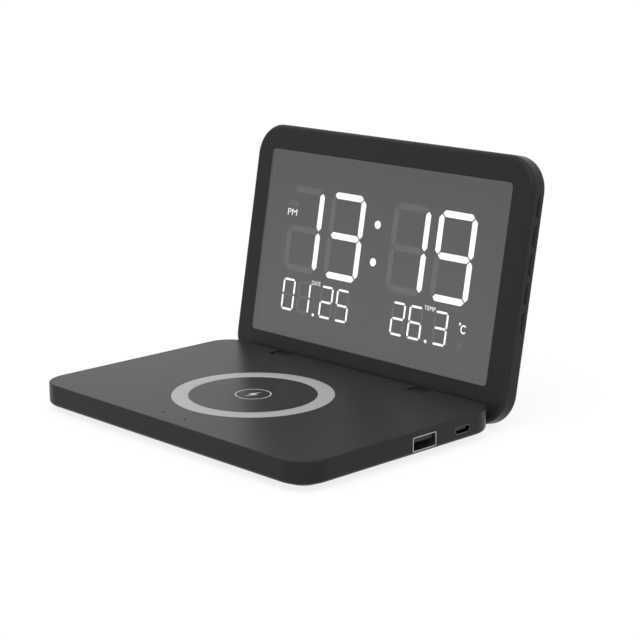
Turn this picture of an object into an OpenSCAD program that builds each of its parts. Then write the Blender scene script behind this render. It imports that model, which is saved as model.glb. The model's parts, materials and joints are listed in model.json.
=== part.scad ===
// Folding bedside clock with a wireless charging pad.
// A flat base holds the charger, and a screen of the same width folds down onto it about a rear hinge.
// X runs to the right, Y to the rear, Z up. The origin is on the table, under the middle of the clock.

/* [Base] */
// Width of the base and of the screen
base_w = 160; // [150:1:180]
// Depth of the base from front to rear
base_d = 108; // [104:1:124]
// Radius of the base's four corners seen from above
base_corner_r = 12.3; // [9:0.1:16]
// Rounding of the base's top edge at the front and the sides
base_edge_r = 0.6; // [0.4:0.1:1.5]
// Rounding of the base's rear upper edge, which the folding screen passes
rear_edge_r = 2; // [1:0.1:2.2]
// Rounding of the base's lower edge
base_lower_r = 2; // [1:0.1:2.2]
// Thickness of the base's side walls
base_wall = 2.4; // [2.3:0.1:3]
// Thickness of the base's top
base_top_t = 1.8; // [1.5:0.1:2.2]
// Thickness of the bottom cover
bottom_cover_t = 1.2; // [1:0.05:1.3]
// Gap round the bottom cover
cover_gap = 0.15; // [0.1:0.05:0.3]

/* [Feet] */
// Diameter of a rubber foot
foot_d = 14; // [11:0.5:16]
// Height of a foot below the base
foot_h = 2.5; // [2.3:0.1:6]
// Depth of the recess that a foot is glued in
foot_recess = 0.5; // [0.3:0.05:0.6]
// Distance from the base's edges to the middle of a foot
foot_inset = 14; // [12.5:0.5:18]
// Rounding of a foot's lower edge
foot_edge_r = 0.6; // [0.2:0.1:1]

/* [Charging pad] */
// Outer diameter of the soft ring
ring_outer_d = 66.7; // [58:0.1:74]
// Width of the soft ring's band
ring_band = 7.15; // [5:0.05:9]
// Depth of the ring's groove
ring_depth = 0.6; // [0.4:0.1:1]
// Height of the ring above the base's top
ring_proud = 0.1; // [0:0.05:0.2]
// Gap between the ring and the walls of its groove
ring_gap = 0.1; // [0.05:0.05:0.2]
// Sideways place of the charging pad
pad_x = -1.2; // [-4:0.1:4]
// Distance from the base's front to the middle of the pad
pad_from_front = 50.2; // [46:0.1:56]
// Outer diameter of the coil
coil_outer_d = 46; // [40:0.5:48]
// Inner diameter of the coil
coil_inner_d = 20; // [14:0.5:26]
// Thickness of the coil
coil_t = 2; // [1.5:0.1:2.4]
// Diameter of the ferrite shield
ferrite_d = 50; // [48:0.5:54]
// Thickness of the ferrite shield
ferrite_t = 1; // [0.6:0.1:1.4]
// Diameter of a coil lead
lead_d = 1.2; // [0.8:0.1:1.4]
// Distance between the two coil leads
lead_pitch = 4; // [2.5:0.5:8]

/* [Indicator lights] */
// Diameter of a light pipe
pipe_d = 1; // [0.8:0.1:2]
// Distance between the two light pipes
pipe_pitch = 13.2; // [8:0.1:15]
// Distance from the base's front to the light pipes
pipe_from_front = 7.6; // [7:0.1:10]
// Depth of a light pipe's end below the base's top
pipe_recess = 0.5; // [0:0.1:0.8]
// Diameter of the collar that holds a light pipe under the top
pipe_collar_d = 2.4; // [2.2:0.1:3]
// Width of the indicator board
light_board_w = 26; // [24:0.5:40]
// Depth of the indicator board
light_board_d = 6; // [5:0.5:8]
// Length of the posts that hold the indicator board under the top
light_post_l = 3; // [2.5:0.1:3.4]

/* [Sockets] */
// Width of the USB-A shell
usb_a_w = 13.1; // [12.9:0.05:13.3]
// Height of the USB-A shell
usb_a_h = 5.7; // [5.6:0.05:5.8]
// Length of the USB-A shell
usb_a_l = 14; // [12:0.5:16]
// Distance from the base's rear to the middle of the USB-A socket
usb_a_from_rear = 43.4; // [40:0.1:48]
// Gap between the bottom cover and the USB-A shell
usb_a_floor_gap = 0.15; // [0.1:0.05:0.6]
// Gap between the USB-A shell and the base's top
usb_a_roof_gap = 0.55; // [0.4:0.05:1.2]
// Width of the USB-C shell
usb_c_w = 8.94; // [8.9:0.02:9]
// Height of the USB-C shell
usb_c_h = 3.16; // [3.1:0.02:3.26]
// Length of the USB-C shell
usb_c_l = 7.4; // [6.5:0.1:9]
// Distance from the base's rear to the middle of the USB-C inlet
usb_c_from_rear = 21.5; // [19:0.1:26]
// Wall of both socket shells
socket_wall = 0.3; // [0.25:0.05:0.35]
// Gap between a socket shell and the base's wall
socket_gap = 0.2; // [0.1:0.05:0.3]
// Depth of a socket's mouth behind the wall's outer face
socket_recess = 0.1; // [0:0.05:0.5]

/* [Charger board] */
// Width of the charger board
board_w = 34; // [30:0.5:38]
// Depth of the charger board
board_d = 53.6; // [52:0.2:57]
// Gap under the charger board
board_under = 0.62; // [0.5:0.02:1]
// Thickness of the circuit boards
board_t = 1; // [0.8:0.1:1.2]
// Gap between the charger board and the base's side wall
board_gap = 0.4; // [0.2:0.1:1]

/* [Screen] */
// Height of the screen
screen_h = 109.1; // [106:0.1:112]
// Radius of the screen's four corners
screen_corner_r = 13.9; // [10:0.1:16]
// Rounding of the screen's front edge
screen_front_r = 2; // [1:0.1:2]
// Rounding of the screen's rear edge
screen_rear_r = 1.9; // [1:0.1:1.9]
// Angle by which the open screen leans back
screen_lean = 10; // [8:0.5:12]
// Thickness of the front bezel
bezel_t = 2.2; // [2.1:0.1:2.3]
// Thickness of the screen's side walls
screen_wall = 2; // [1.9:0.1:2.2]
// Thickness of the screen's rear wall
rear_t = 1.8; // [1.5:0.1:1.9]
// Depth of the bezel's rim inside the rear cover
rim_depth = 1.5; // [1:0.1:1.6]
// Thickness of the bezel's rim
rim_t = 0.8; // [0.6:0.05:0.8]
// Gap between the rim and the rear cover
rim_gap = 0.1; // [0.05:0.05:0.1]

/* [Display] */
// Width of the bezel beside the display window
bezel_side = 10.2; // [9:0.1:13]
// Height of the bezel above the display window
bezel_above = 10.8; // [9.5:0.1:14]
// Height of the bezel below the display window
bezel_below = 15.8; // [15.5:0.1:18]
// Radius of the window's corners
window_r = 2; // [1:0.1:4]
// Thickness of the lens
lens_t = 1.2; // [1:0.05:1.3]
// Gap round the lens
lens_gap = 0.15; // [0.1:0.05:0.3]
// Width of the ledge that the lens is glued to
lens_ledge = 1.8; // [1.2:0.1:2]
// Air gap between the lens and the diffuser sheet
lens_air = 0.15; // [0.1:0.05:0.2]
// Thickness of the diffuser sheet
diffuser_t = 0.25; // [0.2:0.05:0.3]
// Thickness of the segment reflector
reflector_t = 1.6; // [1.4:0.1:1.8]
// Sideways place of the middle of the time
time_x = -1.05; // [-2:0.05:1]
// Height of the middle of the time digits above the screen's lower edge
time_z = 64.2; // [62:0.1:66]
// Distance between the upright strokes of a time digit
time_stroke_x = 18; // [16:0.1:19]
// Distance between the level strokes of a time digit
time_stroke_z = 17.45; // [16:0.05:18]
// Width of a stroke of a time digit
time_stroke_w = 2.8; // [2:0.1:4]
// Distance between the two digits of the hours and of the minutes
time_pitch = 25.35; // [24.5:0.05:26]
// Distance between the hours and the minutes
time_split = 37.5; // [36.5:0.1:39]
// Gap between two strokes of a time digit
time_stroke_gap = 0.6; // [0.3:0.05:0.8]
// Sideways place of the colon
colon_x = -1.3; // [-2:0.05:1]
// Radius of a colon dot
colon_r = 1.7; // [1.2:0.1:2.6]
// Distance between the two colon dots
colon_pitch = 16.1; // [12:0.1:20]
// Height of the middle of the small digits above the screen's lower edge
small_z = 34.55; // [33:0.05:36]
// Distance between the upright strokes of a small digit
small_stroke_x = 6.75; // [6:0.05:7.2]
// Distance between the level strokes of a small digit
small_stroke_z = 6.65; // [6:0.05:7]
// Width of a stroke of a small digit
small_stroke_w = 0.95; // [0.7:0.05:1.6]
// Gap between two strokes of a small digit
small_stroke_gap = 0.4; // [0.3:0.05:0.6]
// Distance between two small digits with no point between them
small_pitch = 9.85; // [9.2:0.05:10.5]
// Distance between two small digits with a point between them
point_pitch = 14.1; // [13:0.1:15]
// Radius of a point
point_r = 0.7; // [0.5:0.05:1]
// Sideways place of the first digit of the date
date_x = -50.1; // [-51:0.1:-47]
// Sideways place of the first digit of the temperature
temp_x = 16.9; // [16:0.1:20]

/* [Display board] */
// Gap between the display board and the bezel's rim at its sides
display_side_gap = 3.6; // [3:0.1:5]
// Gap between the display board and the bezel's rim at its top
display_top_gap = 5.7; // [3:0.1:7]
// Depth left for the components behind the display board
component_room = 2.6; // [2.5:0.1:5]
// Diameter of the buzzer
buzzer_d = 12; // [9:0.5:14]
// Diameter of a sound hole
sound_hole_d = 1.4; // [1:0.1:1.8]
// Diameter of the backup cell
cell_d = 12.5; // [10:0.1:13]
// Thickness of the backup cell
cell_t = 1.6; // [1.2:0.1:1.7]

/* [Hinge] */
// Distance from the clock's side to the middle of a hinge
hinge_inset = 38.5; // [36:0.5:44]
// Gap by which the turning screen passes the base's rear upper edge
fold_clear = 0.21; // [0.15:0.01:0.3]
// Distance from the hinge axis to the screen's front face
hinge_reach = 5.3; // [5.2:0.05:5.4]
// Distance from the screen's lower edge to the hinge axis
hinge_rise = 4.85; // [4.8:0.05:5.2]
// Gap between the folded screen and the base's top
fold_gap = 0.6; // [0.5:0.05:0.8]
// Width of a knuckle
knuckle_w = 8.4; // [7:0.1:9]
// Radius of a knuckle
knuckle_r = 4.4; // [4:0.05:4.5]
// Height of the neck that joins a knuckle to its leaf
neck_h = 3.8; // [3:0.1:3.8]
// Gap round a knuckle in its notch
notch_gap = 0.3; // [0.2:0.05:0.5]
// Thickness of the walls round a notch
notch_wall = 1.6; // [1.2:0.1:2]
// Diameter of the hinge pins
pin_d = 3.2; // [2.8:0.1:3.2]
// Bore of the hollow bush
bush_bore_d = 2; // [1.8:0.1:2.2]
// Running gap round a pin that turns in the base
running_gap = 0.05; // [0.02:0.01:0.1]
// Gap round a pin that is pressed into its knuckle
press_gap = 0.01; // [0.01:0.01:0.02]
// Radius of a bracket's barrel
barrel_r = 2.5; // [2.3:0.05:2.6]
// Length of a bracket's barrel
barrel_l = 7; // [5:0.5:8]
// Gap between a bracket and the base round it
bracket_gap = 0.2; // [0.1:0.05:0.3]
// Thickness of a bracket's plate
bracket_t = 1.2; // [1:0.1:1.5]
// Length of a bracket's plate in front of the hinge axis
bracket_l = 14; // [13.5:0.5:16]
// Thickness of a hinge leaf inside the screen
leaf_t = 1.5; // [1.2:0.1:1.6]
// Width of a hinge leaf
leaf_w = 22; // [20:0.5:26]
// Height of the top of a hinge leaf above the screen's lower edge
leaf_top = 13.2; // [12.6:0.1:13.6]
// Diameter of the harness between base and screen
harness_d = 1.4; // [1:0.1:1.6]

/* [Buttons] */
// Length of a button
button_l = 8.1; // [7:0.1:9.5]
// Height of a button across the screen's edge
button_w = 2.4; // [1.8:0.1:2.4]
// Distance from the screen's rear face to the middle of the buttons
button_from_rear = 2.95; // [2.8:0.05:3.2]
// Distance from the start of the screen's upper corner to the top button
button_from_corner = 1; // [0.3:0.1:4]
// Space between two buttons
button_space = 3.6; // [2.4:0.1:4]
// Height of a button above the screen's side
button_proud = 0.5; // [0.4:0.05:0.8]
// Travel of a button
button_travel = 0.3; // [0.2:0.05:0.3]
// Gap round a button in its slot
button_gap = 0.15; // [0.1:0.05:0.25]
// Length by which the flange that holds a button in passes its ends
button_flange_over = 0.9; // [0.5:0.1:1.1]
// Height of the flange that holds a button in
button_flange_w = 1.8; // [1.4:0.1:2]

/* [Screws] */
// Diameter of the cover screws
cover_screw_d = 2; // [1.6:0.1:2.2]
// Diameter of the small screws
small_screw_d = 1.6; // [1.4:0.1:1.8]
// Gap round a screw's shank
screw_gap = 0.05; // [0.03:0.01:0.1]

/* [Hidden] */
$fn = 48;

// Length by which a cut runs past the face that it opens
past = 1;

// Heights in the base, from its underside up
base_h = bottom_cover_t + usb_a_floor_gap + usb_a_h + usb_a_roof_gap + base_top_t;
ceiling_z = base_h - base_top_t;
usb_a_z = bottom_cover_t + usb_a_floor_gap + usb_a_h / 2;
board_top = bottom_cover_t + board_under + board_t;
usb_c_z = board_top + usb_c_h / 2;

// Depths in the screen, from its front face back
diffuser_face = lens_t + lens_air;
reflector_face = diffuser_face + diffuser_t;
display_face = reflector_face + reflector_t;
display_back = display_face + board_t;
rear_face = display_back + component_room;
screen_t = rear_face + rear_t;

// The hinge axis, set so that the turning screen passes the base's rear upper edge
hinge_x = base_w / 2 - hinge_inset;
edge_pass = hinge_reach - fold_clear - rear_edge_r;
edge_drop = hinge_reach - fold_gap - rear_edge_r;
hinge_setback = rear_edge_r + sqrt(pow(edge_pass, 2) - pow(edge_drop, 2));

// The hinge axis above the base's bottom, and where the clock's parts stand
axis_up = base_h + fold_gap - hinge_reach;
axis_z = foot_h + axis_up;
screen_rear_y = (hinge_reach + screen_t - screen_rear_r) * cos(screen_lean)
    + (screen_h - screen_rear_r - hinge_rise) * sin(screen_lean) + screen_rear_r;
clock_d = base_d - hinge_setback + screen_rear_y;
base_y = (base_d - clock_d) / 2;
axis_y = base_d / 2 - hinge_setback;

// Inside of the base
inner_w = base_w - 2 * base_wall;
inner_d = base_d - 2 * base_wall;
inner_r = base_corner_r - base_wall;
foot_x = base_w / 2 - foot_inset;
foot_y = base_d / 2 - foot_inset;
pad_y = pad_from_front - base_d / 2;
ring_inner_d = ring_outer_d - 2 * ring_band;

// Screw cups of the bottom cover, and the bosses that stand on them
cup_r = 4.5;
cup_h = 3;
boss_r = 2.75;
cover_head_r = 2;
cover_head_h = 1.4;
cover_head_z = 0.8;
cover_shank_l = 4;
head_gap = 0.3;
blind_gap = 0.2;

// Sockets in the right wall
usb_a_y = base_d / 2 - usb_a_from_rear;
usb_c_y = base_d / 2 - usb_c_from_rear;
mouth_x = base_w / 2 - socket_recess;
usb_corner_r = 0.5;
tongue_front = 1.4;
tongue_gap = 0.05;
usb_a_inner_w = usb_a_w - 2 * socket_wall;
usb_a_inner_h = usb_a_h - 2 * socket_wall;
usb_a_tongue_w = 11.1;
usb_a_tongue_h = 1.84;
usb_a_tongue_z = 0.3;
usb_a_block_l = 4.2;

// Small screws
small_head_r = 1.7;
small_head_h = 0.9;
wafer_head_h = 0.45;
small_shank_l = 3;
small_boss_r = 2.2;

// Indicator board
light_board_y = pipe_from_front - base_d / 2;
light_board_top = ceiling_z - light_post_l;
light_board_z = light_board_top - board_t;
light_post_x = light_board_w / 2 - small_boss_r;
led_h = 0.7;
led_w = 1.6;
led_d = 0.8;
pipe_gap = 0.1;
pipe_led_gap = 0.1;
pipe_collar_h = 0.6;

// Notches and what turns in them
notch_half = knuckle_w / 2 + notch_gap;
notch_front = axis_y - knuckle_r - notch_gap;
pin_r = pin_d / 2;
bore_r = pin_r + running_gap;
barrel_x = notch_half + notch_wall + bracket_gap;
pin_end_x = barrel_x + barrel_l;
pin_inner_x = notch_half + notch_wall - bracket_gap;
bush_out = 3;
bush_inner_x = notch_half + notch_wall + bush_out;
bush_depth = 2.5;
bush_end_x = knuckle_w / 2 - bush_depth;
bracket_screw_near = 6.5;
bracket_screw_edge = 2.5;
bracket_mid_x = hinge_x + barrel_x + barrel_l / 2;
bracket_screw_y = [axis_y - bracket_screw_near, axis_y - bracket_l + bracket_screw_edge];
bracket_screw_places = [
    for (s = [-1, 1])
        for (y = bracket_screw_y)
            [s * bracket_mid_x, y]
];

// Charger board and the places on it, from its left front corner
board_notch_gap = 0.6;
board_x0 = inner_w / 2 - board_gap - board_w;
board_y0 = notch_front - notch_wall - board_notch_gap - board_d;
left_screw_x = 4;
left_screw_y = 12;
right_screw_x = 28;
right_screw_y = 5;
board_screw_places = [
    [board_x0 + left_screw_x, board_y0 + left_screw_y],
    [board_x0 + right_screw_x, board_y0 + right_screw_y]
];
lead_inset_x = 8;
lead_inset_y = 6.2;
lead_bend = 2;
lead_gap = 0.1;
inductor_w = 7;
inductor_h = 3;
inductor_r = 1.5;
inductor_x = 12;
inductor_y = 16;
charge_chip_w = 5;
charge_chip_x = 8;
charge_chip_y = 26;
supply_chip_w = 4;
supply_chip_x = 18;
supply_chip_y = 28;
guard_chip_w = 3;
guard_chip_x = 9;
guard_chip_y = 35;
bridge_chip_w = 4;
bridge_chip_x = 17;
bridge_chip_y = 8;
charger_chip_h = 0.9;
plug_l = 4;
plug_edge = 0.2;
plug_notch_gap = 0.9;
plug_y = notch_front - notch_wall - plug_notch_gap - plug_l / 2;

// Inside of the screen
screen_inner_w = base_w - 2 * screen_wall;
screen_inner_h = screen_h - 2 * screen_wall;
screen_inner_r = screen_corner_r - screen_wall;
rim_inset = screen_wall + rim_gap + rim_t;
window_w = base_w - 2 * bezel_side;
window_h = screen_h - bezel_above - bezel_below;
window_mid_z = bezel_below + window_h / 2;
panel_gap = 0.3;
panel_w = window_w - 2 * lens_ledge - 2 * panel_gap;
panel_h = window_h - 2 * lens_ledge - 2 * panel_gap;
display_board_w = base_w - 2 * rim_inset - 2 * display_side_gap;
display_low_z = leaf_top + panel_gap;
display_high_z = screen_h - rim_inset - display_top_gap;
display_board_h = display_high_z - display_low_z;
display_mid_z = display_low_z + display_board_h / 2;
post_inset = 3.3;
display_post_x = display_board_w / 2 - post_inset;
display_post_z = display_board_h / 2 - post_inset;
leaf_clear = 0.2;
leaf_face = bezel_t + leaf_clear;
leaf_back = leaf_face + leaf_t;
leaf_low = rim_inset + rim_gap;
leaf_screw_inset = 4;
leaf_screw_drop = 3.2;
leaf_screw_x = leaf_w / 2 - leaf_screw_inset;
leaf_screw_z = leaf_top - leaf_screw_drop;
head_sink = 0.1;
neck_low = hinge_rise - neck_h / 2;
neck_gap = 0.15;
component_gap = 0.3;
buzzer_x = -32;
buzzer_z = 62;
cell_x = 24;
cell_z = 62;
chip_z = 44;
chip_w = 10;
chip_t = 1.4;
connector_z = 24;
connector_w = 7;
connector_l = 5;
sensor_inset = 11.5;
sensor_x = sensor_inset - display_board_w / 2;
sensor_z = 28;
sensor_l = 3;
sensor_w = 1.6;
sensor_t = 1;
cell_floor = 0.5;
cell_gap = 0.15;
cell_lip = 0.1;
holder_side = 2;
holder_end = 1;
sound_depth = 1;
sound_pitch = 2.6;

// Buttons and switches on the screen's right edge
button_in_x = base_w / 2 - screen_wall;
button_depth = screen_t - button_from_rear;
button_pitch = button_l + button_space;
button_top_z = screen_h - screen_corner_r - button_from_corner - button_l / 2;
button_flange_l = button_l + 2 * button_flange_over;
button_flange_t = 1.2;
button_rest_gap = 0.05;
switch_w = 4;
switch_l = 6;
plunger_w = 1.2;
plunger_l = 2.4;
plunger_out = 0.8;
switch_spare = 0.1;
switch_gap = button_travel + switch_spare;

// Harness route
harness_r = harness_d / 2;
harness_bend = 4;
harness_straight = 4;
harness_turn_x = -hinge_x + bush_inner_x + harness_straight + 2 * harness_bend;
harness_elbow = 1.6;
harness_gap = 0.2;
screen_bend = 1.4;
splice_depth = 2.2;
splice_gap = 0.3;
splice_lead = 0.6;
splice_x = hinge_x - knuckle_w / 2 + splice_depth;
harness_out_x = -splice_x - splice_lead - harness_elbow;

// Digit places
time_digits = [
    time_x - time_split / 2 - time_pitch, time_x - time_split / 2,
    time_x + time_split / 2, time_x + time_split / 2 + time_pitch
];
date_digits = [
    date_x, date_x + small_pitch,
    date_x + small_pitch + point_pitch, date_x + 2 * small_pitch + point_pitch
];
temp_digits = [temp_x, temp_x + small_pitch, temp_x + small_pitch + point_pitch];

// Colours
case_colour = [0.18, 0.18, 0.19];
board_colour = [0.08, 0.3, 0.18];
metal_colour = [0.72, 0.72, 0.74];
rubber_colour = [0.55, 0.55, 0.56];

// Places things in the base: X from its middle, Y from its middle, Z from its underside
module on_base() {
    translate([0, base_y, foot_h]) children();
}

// Places things in the screen: X from its middle, Y back from its front face, Z up from its lower edge
module on_screen() {
    translate([0, base_y + axis_y, axis_z])
        rotate([-screen_lean, 0, 0])
            translate([0, hinge_reach, -hinge_rise])
                children();
}

// Turns a flat outline into a plate that lies in the screen between two depths
module in_screen(front, back) {
    translate([0, back, 0])
        rotate([90, 0, 0])
            linear_extrude(back - front)
                children();
}

// Puts a copy at each of the four corners of a rectangle
module at_corners(x, y) {
    for (sx = [-1, 1])
        for (sy = [-1, 1])
            translate([sx * x, sy * y, 0])
                children();
}

// A rectangle with round corners
module round_rect(w, d, r) {
    square([w - 2 * r, d], center = true);
    for (sx = [-1, 1])
        translate([sx * (w / 2 - r / 2), 0])
            square([r, d - 2 * r], center = true);
    for (sx = [-1, 1])
        for (sy = [-1, 1])
            translate([sx * (w / 2 - r), sy * (d / 2 - r)])
                circle(r);
}

// A stadium: a rectangle with half-round ends, long along X
module pill(l, w) {
    square([l - w, w], center = true);
    for (s = [-1, 1])
        translate([s * (l - w) / 2, 0])
            circle(d = w);
}

// What a rounded corner of radius r takes off a square corner
module corner_cut(r) {
    difference() {
        square(r + past);
        circle(r);
    }
}

// Cross-section of a slab's edge, rounded at its upper and lower outer corners
module edge_profile(reach, h, top_r, bottom_r) {
    difference() {
        square([reach, h]);
        if (top_r > 0)
            translate([reach - top_r, h - top_r]) corner_cut(top_r);
        if (bottom_r > 0)
            translate([reach - bottom_r, bottom_r]) mirror([0, 1]) corner_cut(bottom_r);
    }
}

// A slab with round corners and rounded edges, its underside on Z = 0
module rounded_slab(w, d, h, corner, top_r, bottom_r) {
    run_x = w - 2 * corner;
    run_y = d - 2 * corner;
    translate([-run_x / 2, -run_y / 2, 0]) cube([run_x, run_y, h]);
    for (turn = [0, 1]) {
        mirror([0, turn, 0])
            translate([-run_x / 2, run_y / 2, 0])
                rotate([90, 0, 90])
                    linear_extrude(run_x)
                        edge_profile(corner, h, top_r, bottom_r);
        mirror([turn, 0, 0])
            translate([run_x / 2, run_y / 2, 0])
                rotate([90, 0, 0])
                    linear_extrude(run_y)
                        edge_profile(corner, h, top_r, bottom_r);
    }
    for (quarter = [0 : 3]) {
        sx = quarter == 0 || quarter == 3 ? 1 : -1;
        sy = quarter < 2 ? 1 : -1;
        translate([sx * run_x / 2, sy * run_y / 2, 0])
            rotate([0, 0, 90 * quarter])
                rotate_extrude(angle = 90)
                    edge_profile(corner, h, top_r, bottom_r);
    }
}

// A slice of the screen's outer shape between two depths
module screen_slab(front, back, front_r, rear_r) {
    translate([0, back, screen_h / 2])
        rotate([90, 0, 0])
            rounded_slab(base_w, screen_h, back - front, screen_corner_r, front_r, rear_r);
}

// A rod along X between two places
module rod_x(x0, x1, r) {
    translate([x0, 0, 0])
        rotate([0, 90, 0])
            cylinder(h = x1 - x0, r = r);
}

// A screw with its shank pointing up and the underside of its head on Z = 0
module screw(shank_d, shank_l, head_r, head_h) {
    translate([0, 0, -head_h]) cylinder(h = head_h, r = head_r);
    cylinder(h = shank_l, d = shank_d);
}

// A quarter bend of a wire that comes in along +X and leaves along +Y
module wire_bend(r, bend) {
    translate([0, bend, 0])
        rotate([0, 0, -90])
            rotate_extrude(angle = 90)
                translate([bend, 0])
                    circle(r);
}

// Base housing

module notch_walls() {
    wall_x = notch_half + notch_wall;
    wall_y = notch_front - notch_wall;
    for (s = [-1, 1])
        translate([s * hinge_x - wall_x, wall_y, 0])
            cube([2 * wall_x, base_d / 2 - base_wall / 2 - wall_y, ceiling_z + base_top_t / 2]);
}

module notch_cuts() {
    for (s = [-1, 1])
        translate([s * hinge_x - notch_half, notch_front, -past])
            cube([2 * notch_half, base_d / 2 - notch_front + past, base_h + 2 * past]);
}

module hinge_bores() {
    outer = pin_end_x + bracket_gap;
    translate([0, axis_y, axis_up]) {
        rod_x(-hinge_x - outer, -hinge_x + bush_inner_x + bracket_gap, bore_r);
        rod_x(hinge_x - notch_half - notch_wall - past, hinge_x + outer, bore_r);
        for (s = [-1, 1])
            translate([s * bracket_mid_x, 0, 0])
                rod_x(-barrel_l / 2 - bracket_gap, barrel_l / 2 + bracket_gap, barrel_r + bracket_gap);
        rod_x(-hinge_x + notch_half + notch_wall, -hinge_x + bush_inner_x + past, bore_r + bracket_gap);
    }
}

module socket_cuts() {
    translate([base_w / 2 - base_wall - past, usb_a_y, usb_a_z])
        rotate([90, 0, 90])
            linear_extrude(base_wall + 2 * past)
                round_rect(usb_a_w + 2 * socket_gap, usb_a_h + 2 * socket_gap, usb_corner_r + socket_gap);
    translate([base_w / 2 - base_wall - past, usb_c_y, usb_c_z])
        rotate([90, 0, 90])
            linear_extrude(base_wall + 2 * past)
                pill(usb_c_w + 2 * socket_gap, usb_c_h + 2 * socket_gap);
}

// What the rounding of the base's rear upper edge takes off
module rear_edge_cut() {
    translate([-base_w / 2 - past, base_d / 2 - rear_edge_r, base_h - rear_edge_r])
        rotate([90, 0, 90])
            linear_extrude(base_w + 2 * past)
                corner_cut(rear_edge_r);
}

module base_top_cover() {
    color(case_colour)
        on_base()
            difference() {
                union() {
                    difference() {
                        rounded_slab(base_w, base_d, base_h, base_corner_r, base_edge_r, base_lower_r);
                        rear_edge_cut();
                        translate([0, 0, -past])
                            linear_extrude(ceiling_z + past)
                                round_rect(inner_w, inner_d, inner_r);
                    }
                    notch_walls();
                    at_corners(foot_x, foot_y)
                        translate([0, 0, cup_h])
                            cylinder(h = ceiling_z - cup_h + base_top_t / 2, r = boss_r);
                    for (place = board_screw_places)
                        translate([place[0], place[1], board_top])
                            cylinder(h = ceiling_z - board_top + base_top_t / 2, r = small_boss_r);
                    for (s = [-1, 1])
                        translate([s * light_post_x, light_board_y, light_board_top])
                            cylinder(h = ceiling_z - light_board_top + base_top_t / 2, r = small_boss_r);
                    for (place = bracket_screw_places)
                        translate([place[0], place[1], axis_up + bracket_t / 2])
                            cylinder(h = ceiling_z - axis_up, r = small_boss_r);
                }
                notch_cuts();
                hinge_bores();
                socket_cuts();
                translate([pad_x, pad_y, base_h - ring_depth])
                    difference() {
                        cylinder(h = ring_depth + past, d = ring_outer_d, $fn = 96);
                        translate([0, 0, -past])
                            cylinder(h = ring_depth + 3 * past, d = ring_inner_d, $fn = 96);
                    }
                for (s = [-1, 1])
                    translate([s * pipe_pitch / 2, light_board_y, ceiling_z - past])
                        cylinder(h = base_top_t + 2 * past, d = pipe_d + 2 * pipe_gap);
                at_corners(foot_x, foot_y)
                    translate([0, 0, cup_h - past])
                        cylinder(h = cover_shank_l + past, d = cover_screw_d + 2 * screw_gap);
                for (place = board_screw_places)
                    translate([place[0], place[1], board_top - past])
                        cylinder(h = small_shank_l + past, d = small_screw_d + 2 * screw_gap);
                for (s = [-1, 1])
                    translate([s * light_post_x, light_board_y, light_board_top - past])
                        cylinder(h = small_shank_l - board_t + past, d = small_screw_d + 2 * screw_gap);
                for (place = bracket_screw_places)
                    translate([place[0], place[1], axis_up])
                        cylinder(h = small_shank_l - bracket_t / 2, d = small_screw_d + 2 * screw_gap);
            }
}

module base_bottom_cover() {
    wall_x = notch_half + notch_wall + cover_gap;
    wall_y = notch_front - notch_wall - cover_gap;
    color(case_colour)
        on_base()
            difference() {
                union() {
                    linear_extrude(bottom_cover_t)
                        difference() {
                            round_rect(inner_w - 2 * cover_gap, inner_d - 2 * cover_gap,
                                inner_r - cover_gap);
                            for (s = [-1, 1])
                                translate([s * hinge_x - wall_x, wall_y])
                                    square([2 * wall_x, base_d / 2 - wall_y]);
                        }
                    at_corners(foot_x, foot_y) cylinder(h = cup_h, r = cup_r);
                }
                at_corners(foot_x, foot_y) {
                    translate([0, 0, -past]) cylinder(h = foot_recess + past, d = foot_d + 2 * cover_gap);
                    cylinder(h = cover_head_z + cover_head_h, r = cover_head_r + head_gap);
                    cylinder(h = cup_h + past, d = cover_screw_d + 2 * head_gap);
                }
            }
}

module rubber_feet() {
    color(rubber_colour)
        on_base()
            at_corners(foot_x, foot_y)
                translate([0, 0, -foot_h])
                    rotate_extrude()
                        edge_profile(foot_d / 2, foot_h + foot_recess, 0, foot_edge_r);
}

module base_screws() {
    color(metal_colour)
        on_base()
            at_corners(foot_x, foot_y)
                translate([0, 0, cover_head_z + cover_head_h])
                    screw(cover_screw_d, cup_h + cover_shank_l - cover_head_z - cover_head_h - blind_gap,
                        cover_head_r, cover_head_h);
}

// Charging pad

module charging_ring() {
    ring_h = ring_depth + ring_proud;
    color([0.72, 0.72, 0.73])
        on_base()
            translate([pad_x, pad_y, base_h - ring_depth])
                difference() {
                    cylinder(h = ring_h, d = ring_outer_d - 2 * ring_gap, $fn = 96);
                    translate([0, 0, -past])
                        cylinder(h = ring_h + 2 * past, d = ring_inner_d + 2 * ring_gap, $fn = 96);
                }
}

module charging_coil() {
    color([0.75, 0.42, 0.2])
        on_base()
            translate([pad_x, pad_y, ceiling_z - coil_t])
                difference() {
                    cylinder(h = coil_t, d = coil_outer_d);
                    translate([0, 0, -past]) cylinder(h = coil_t + 2 * past, d = coil_inner_d);
                }
}

module ferrite_shield() {
    color([0.2, 0.19, 0.19])
        on_base()
            translate([pad_x, pad_y, ceiling_z - coil_t - ferrite_t])
                cylinder(h = ferrite_t, d = ferrite_d);
}

module coil_leads() {
    lead_r = lead_d / 2;
    lead_z = ceiling_z - coil_t / 2;
    drop_x = board_x0 + lead_inset_x;
    color([0.7, 0.25, 0.2])
        on_base()
            for (s = [-1, 1]) {
                lead_y = board_y0 + lead_inset_y + s * lead_pitch / 2;
                aside = max(0, abs(lead_y - pad_y) - lead_r);
                start = pad_x + sqrt(pow(coil_outer_d / 2, 2) - pow(aside, 2)) + lead_gap;
                translate([0, lead_y, lead_z]) {
                    rod_x(start, drop_x - lead_bend, lead_r);
                    translate([drop_x - lead_bend, 0, 0])
                        rotate([-90, 0, 0])
                            wire_bend(lead_r, lead_bend);
                    translate([drop_x, 0, board_top - lead_z])
                        cylinder(h = lead_z - lead_bend - board_top, r = lead_r);
                }
            }
}

// Charger board

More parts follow.
